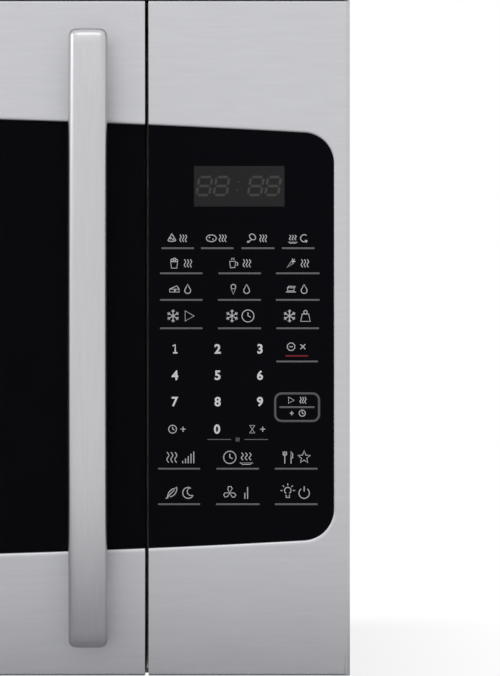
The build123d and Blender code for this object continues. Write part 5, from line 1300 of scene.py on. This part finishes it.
turned = node("FunctionNodeEulerToRotation", {"Euler": given["Turn"]})
inputs = {"Points": given["Geometry"], "Instance": cut.outputs["Mesh"], "Rotation": turned}
heads = node("GeometryNodeInstanceOnPoints", inputs)
end_tree(screw_heads, heads, given["Finish"], result)

# %% Screws on the case
case_low, case_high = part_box("outer_case")
back_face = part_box("back_panel")[1].y
quarter = math.pi / 2
side_depths, side_heights = (-110, -10, 90, 185), (9, 395)
back_columns, back_heights = (-363, 363), (40, 150, 260, 370)
top_columns, top_depth = (-250, 0, 250), -148
side_spots = [(y * mm, z * mm) for y in side_depths for z in side_heights]
back_spots = [(x * mm, z * mm) for x in back_columns for z in back_heights]
top_spots = [(x * mm, top_depth * mm, case_high.z) for x in top_columns]
screws = {
    "screws_left": ([(case_low.x, y, z) for y, z in side_spots], (0.0, -quarter, 0.0)),
    "screws_right": ([(case_high.x, y, z) for y, z in side_spots], (0.0, quarter, 0.0)),
    "screws_back": ([(x, back_face, z) for x, z in back_spots], (-quarter, 0.0, 0.0)),
    "screws_top": (top_spots, (0.0, 0.0, 0.0)),
}
for name, (points, turn) in screws.items():
    grown(name, points, screw_heads, {"Turn": turn}, "oven", "screw_metal")
print("screws on the case:", sum(len(points) for points, turn in screws.values()))

# %% [markdown]
# The grease filters hold expanded aluminium mesh: a sheet that is slit and pulled into
# diamonds. Zigzag strands side by side, each turned over against the last, draw the same
# diamonds. One strand is a resampled line whose every second point is pushed sideways.

# %% Tree: expanded mesh
mesh_step, mesh_swing, strand_size = 3.9 * mm, 1.2 * mm, 0.8 * mm
expanded_mesh, given, result = geometry_tree(
    "expanded_mesh",
    {
        "Length": ("Float", None),
        "Rows": ("Int", None),
        "Step": ("Float", mesh_step),
        "Swing": ("Float", mesh_swing),
        "Strand": ("Float", strand_size),
        "Finish": ("Material", None),
    },
)
node = partial(first_output, expanded_mesh)
times = partial(math_node, expanded_mesh, "MULTIPLY")


def every_second():
    """0 for the first point, 1 for the second, 0 for the third and so on."""
    return math_node(expanded_mesh, "MODULO", node("GeometryNodeInputIndex"), 2.0)


line_end = node("ShaderNodeCombineXYZ", {"X": given["Length"]})
line = node("GeometryNodeCurvePrimitiveLine", {"End": line_end})
inputs = {"Curve": line, "Length": given["Step"]}
line = node("GeometryNodeResampleCurve", inputs, mode="LENGTH")
swing = times(math_node(expanded_mesh, "SUBTRACT", every_second(), 0.5), given["Swing"])
push = node("ShaderNodeCombineXYZ", {"Y": times(swing, 2.0)})
zigzag = node("GeometryNodeSetPosition", {"Geometry": line, "Offset": push})
inputs = {"Width": given["Strand"], "Height": given["Strand"]}
square = node("GeometryNodeCurvePrimitiveQuadrilateral", inputs)
inputs = {"Curve": zigzag, "Profile Curve": square, "Fill Caps": True}
strand = node("GeometryNodeCurveToMesh", inputs)
row_offset = node("ShaderNodeCombineXYZ", {"Y": times(given["Swing"], 2.0)})
rows = node("GeometryNodeMeshLine", {"Count": given["Rows"], "Offset": row_offset})
flip = node("ShaderNodeCombineXYZ", {"X": times(every_second(), math.pi)})
flip = node("FunctionNodeEulerToRotation", {"Euler": flip})
inputs = {"Points": rows, "Instance": strand, "Rotation": flip}
grid = node("GeometryNodeInstanceOnPoints", inputs)
inputs = {"Points": given["Geometry"], "Instance": grid}
end_tree(expanded_mesh, node("GeometryNodeInstanceOnPoints", inputs), given["Finish"], result)

# %% Mesh of the two grease filters
rim = 10.5 * mm
mesh_lift = 1.0 * mm
for side in ("left", "right"):
    low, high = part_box("grease_filter_" + side)
    rows = int((high.y - low.y - 2 * rim) / (2 * mesh_swing))
    values = {"Length": high.x - low.x - 2 * rim, "Rows": rows}
    start = (low.x + rim, low.y + rim + mesh_swing, low.z + mesh_lift)
    name, body, finish = "filter_mesh_" + side, "filter_" + side, "filter_aluminium"
    grown(name, [start], expanded_mesh, values, body, finish)

# %% [markdown]
# The stage is a pale floor under plain soft light. The floor keeps the object's shadow
# near it and turns white further out, for the camera and for what the steel and the glass
# reflect. The world does the same behind it. The part of the floor close to the oven stays
# grey in the steel, which darkens the lower third of the front as in a real kitchen, where
# the cooker below reflects little. The oven hangs on a wall, so the floor is left open under
# it and can't be seen from below: the underside gets light and can be looked at.

# %% Floor
floor_level = -0.001
floor_edge, opening = (6.0, -6.0, 6.0), (0.37, -0.165, 0.2)
shadow_half = (0.38, 0.2, 0.0)
shadow_end, mirrored_start, mirrored_white = 0.12, 0.15, 0.55
white = (1.0, 1.0, 1.0, 1.0)
corners = []
for reach_x, near_y, far_y in (floor_edge, opening):
    corners += [(-reach_x, near_y, floor_level), (reach_x, near_y, floor_level)]
    corners += [(reach_x, far_y, floor_level), (-reach_x, far_y, floor_level)]
floor_mesh = bpy.data.meshes.new("floor")
floor_mesh.from_pydata(corners, [], [(0, 1, 5, 4), (1, 2, 6, 5), (2, 3, 7, 6), (3, 0, 4, 7)])
floor = add_object("floor", floor_mesh)
floor_paint = bpy.data.materials.new("floor_paint")
floor_paint.use_nodes = True
tree = floor_paint.node_tree
tree.nodes.clear()
spot = place(tree, "ShaderNodeTexCoord").outputs["Object"]
beyond = vector_math(tree, "ABSOLUTE", spot)[0]
beyond = vector_math(tree, "SUBTRACT", beyond, shadow_half)[0]
beyond = vector_math(tree, "MAXIMUM", beyond)[0]
distance = vector_math(tree, "LENGTH", beyond)["Value"]
near_white = ramp(tree, distance, 0.0, shadow_end, 0.85, 1.0)
far_white = ramp(tree, distance, mirrored_start, mirrored_white)
rays = place(tree, "ShaderNodeLightPath").outputs
shown = math_node(tree, "MULTIPLY", rays["Is Camera Ray"], near_white)
mirrors = math_node(tree, "ADD", rays["Is Glossy Ray"], rays["Is Transmission Ray"], True)
glowing = math_node(tree, "ADD", math_node(tree, "MULTIPLY", mirrors, far_white), shown, True)
paper = first_output(tree, "ShaderNodeBsdfDiffuse", {"Color": (0.45, 0.45, 0.475, 1.0)})
glow = first_output(tree, "ShaderNodeEmission", {"Color": white, "Strength": 1.0})
paint = first_output(tree, "ShaderNodeMixShader", {0: glowing, 1: paper, 2: glow})
below = place(tree, "ShaderNodeNewGeometry").outputs["Backfacing"]
below = math_node(tree, "MULTIPLY", below, rays["Is Camera Ray"])
clear = first_output(tree, "ShaderNodeBsdfTransparent", {"Color": white})
paint = first_output(tree, "ShaderNodeMixShader", {0: below, 1: paint, 2: clear})
place(tree, "ShaderNodeOutputMaterial", {"Surface": paint})
floor_mesh.materials.append(floor_paint)
print("the floor is white beyond", mirrored_white, "m in what the steel reflects")

# %% World
world_light = 0.72
world = bpy.data.worlds.new("room")
bpy.context.scene.world = world
world.use_nodes = True
tree = world.node_tree
tree.nodes.clear()
rays = place(tree, "ShaderNodeLightPath").outputs
seen = math_node(tree, "ADD", rays["Is Camera Ray"], rays["Is Glossy Ray"])
seen = math_node(tree, "ADD", seen, rays["Is Transmission Ray"], clamp=True)
strength = ramp(tree, seen, 0.0, 1.0, world_light, 1.0)
room = first_output(tree, "ShaderNodeBackground", {"Color": white, "Strength": strength})
place(tree, "ShaderNodeOutputWorld", {"Surface": room})
print("world light", world_light, "seen as 1.0")


# %% Lamps
def soft_lamp(name, spot, target, size, power):
    data = bpy.data.lights.new(name, "AREA")
    data.shape = "RECTANGLE"
    data.size, data.size_y = size
    data.energy = power
    lamp = add_object(name, data)
    lamp.location = spot
    aim = Vector(target) - Vector(spot)
    lamp.rotation_euler = aim.to_track_quat("-Z", "Y").to_euler()
    print(name, "gives", power, "watts")


ceiling, wall = (0.25, -0.95, 1.0), (-2.0, -1.2, 1.3)
soft_lamp("ceiling_lamp", ceiling, target=(0.25, -0.17, 0.25), size=(1.1, 0.5), power=1.8)
soft_lamp("side_lamp", wall, target=(0.0, 0.0, 0.2), size=(1.2, 1.2), power=8.0)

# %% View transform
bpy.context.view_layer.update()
scene = bpy.context.scene
scene.view_settings.view_transform = "Standard"
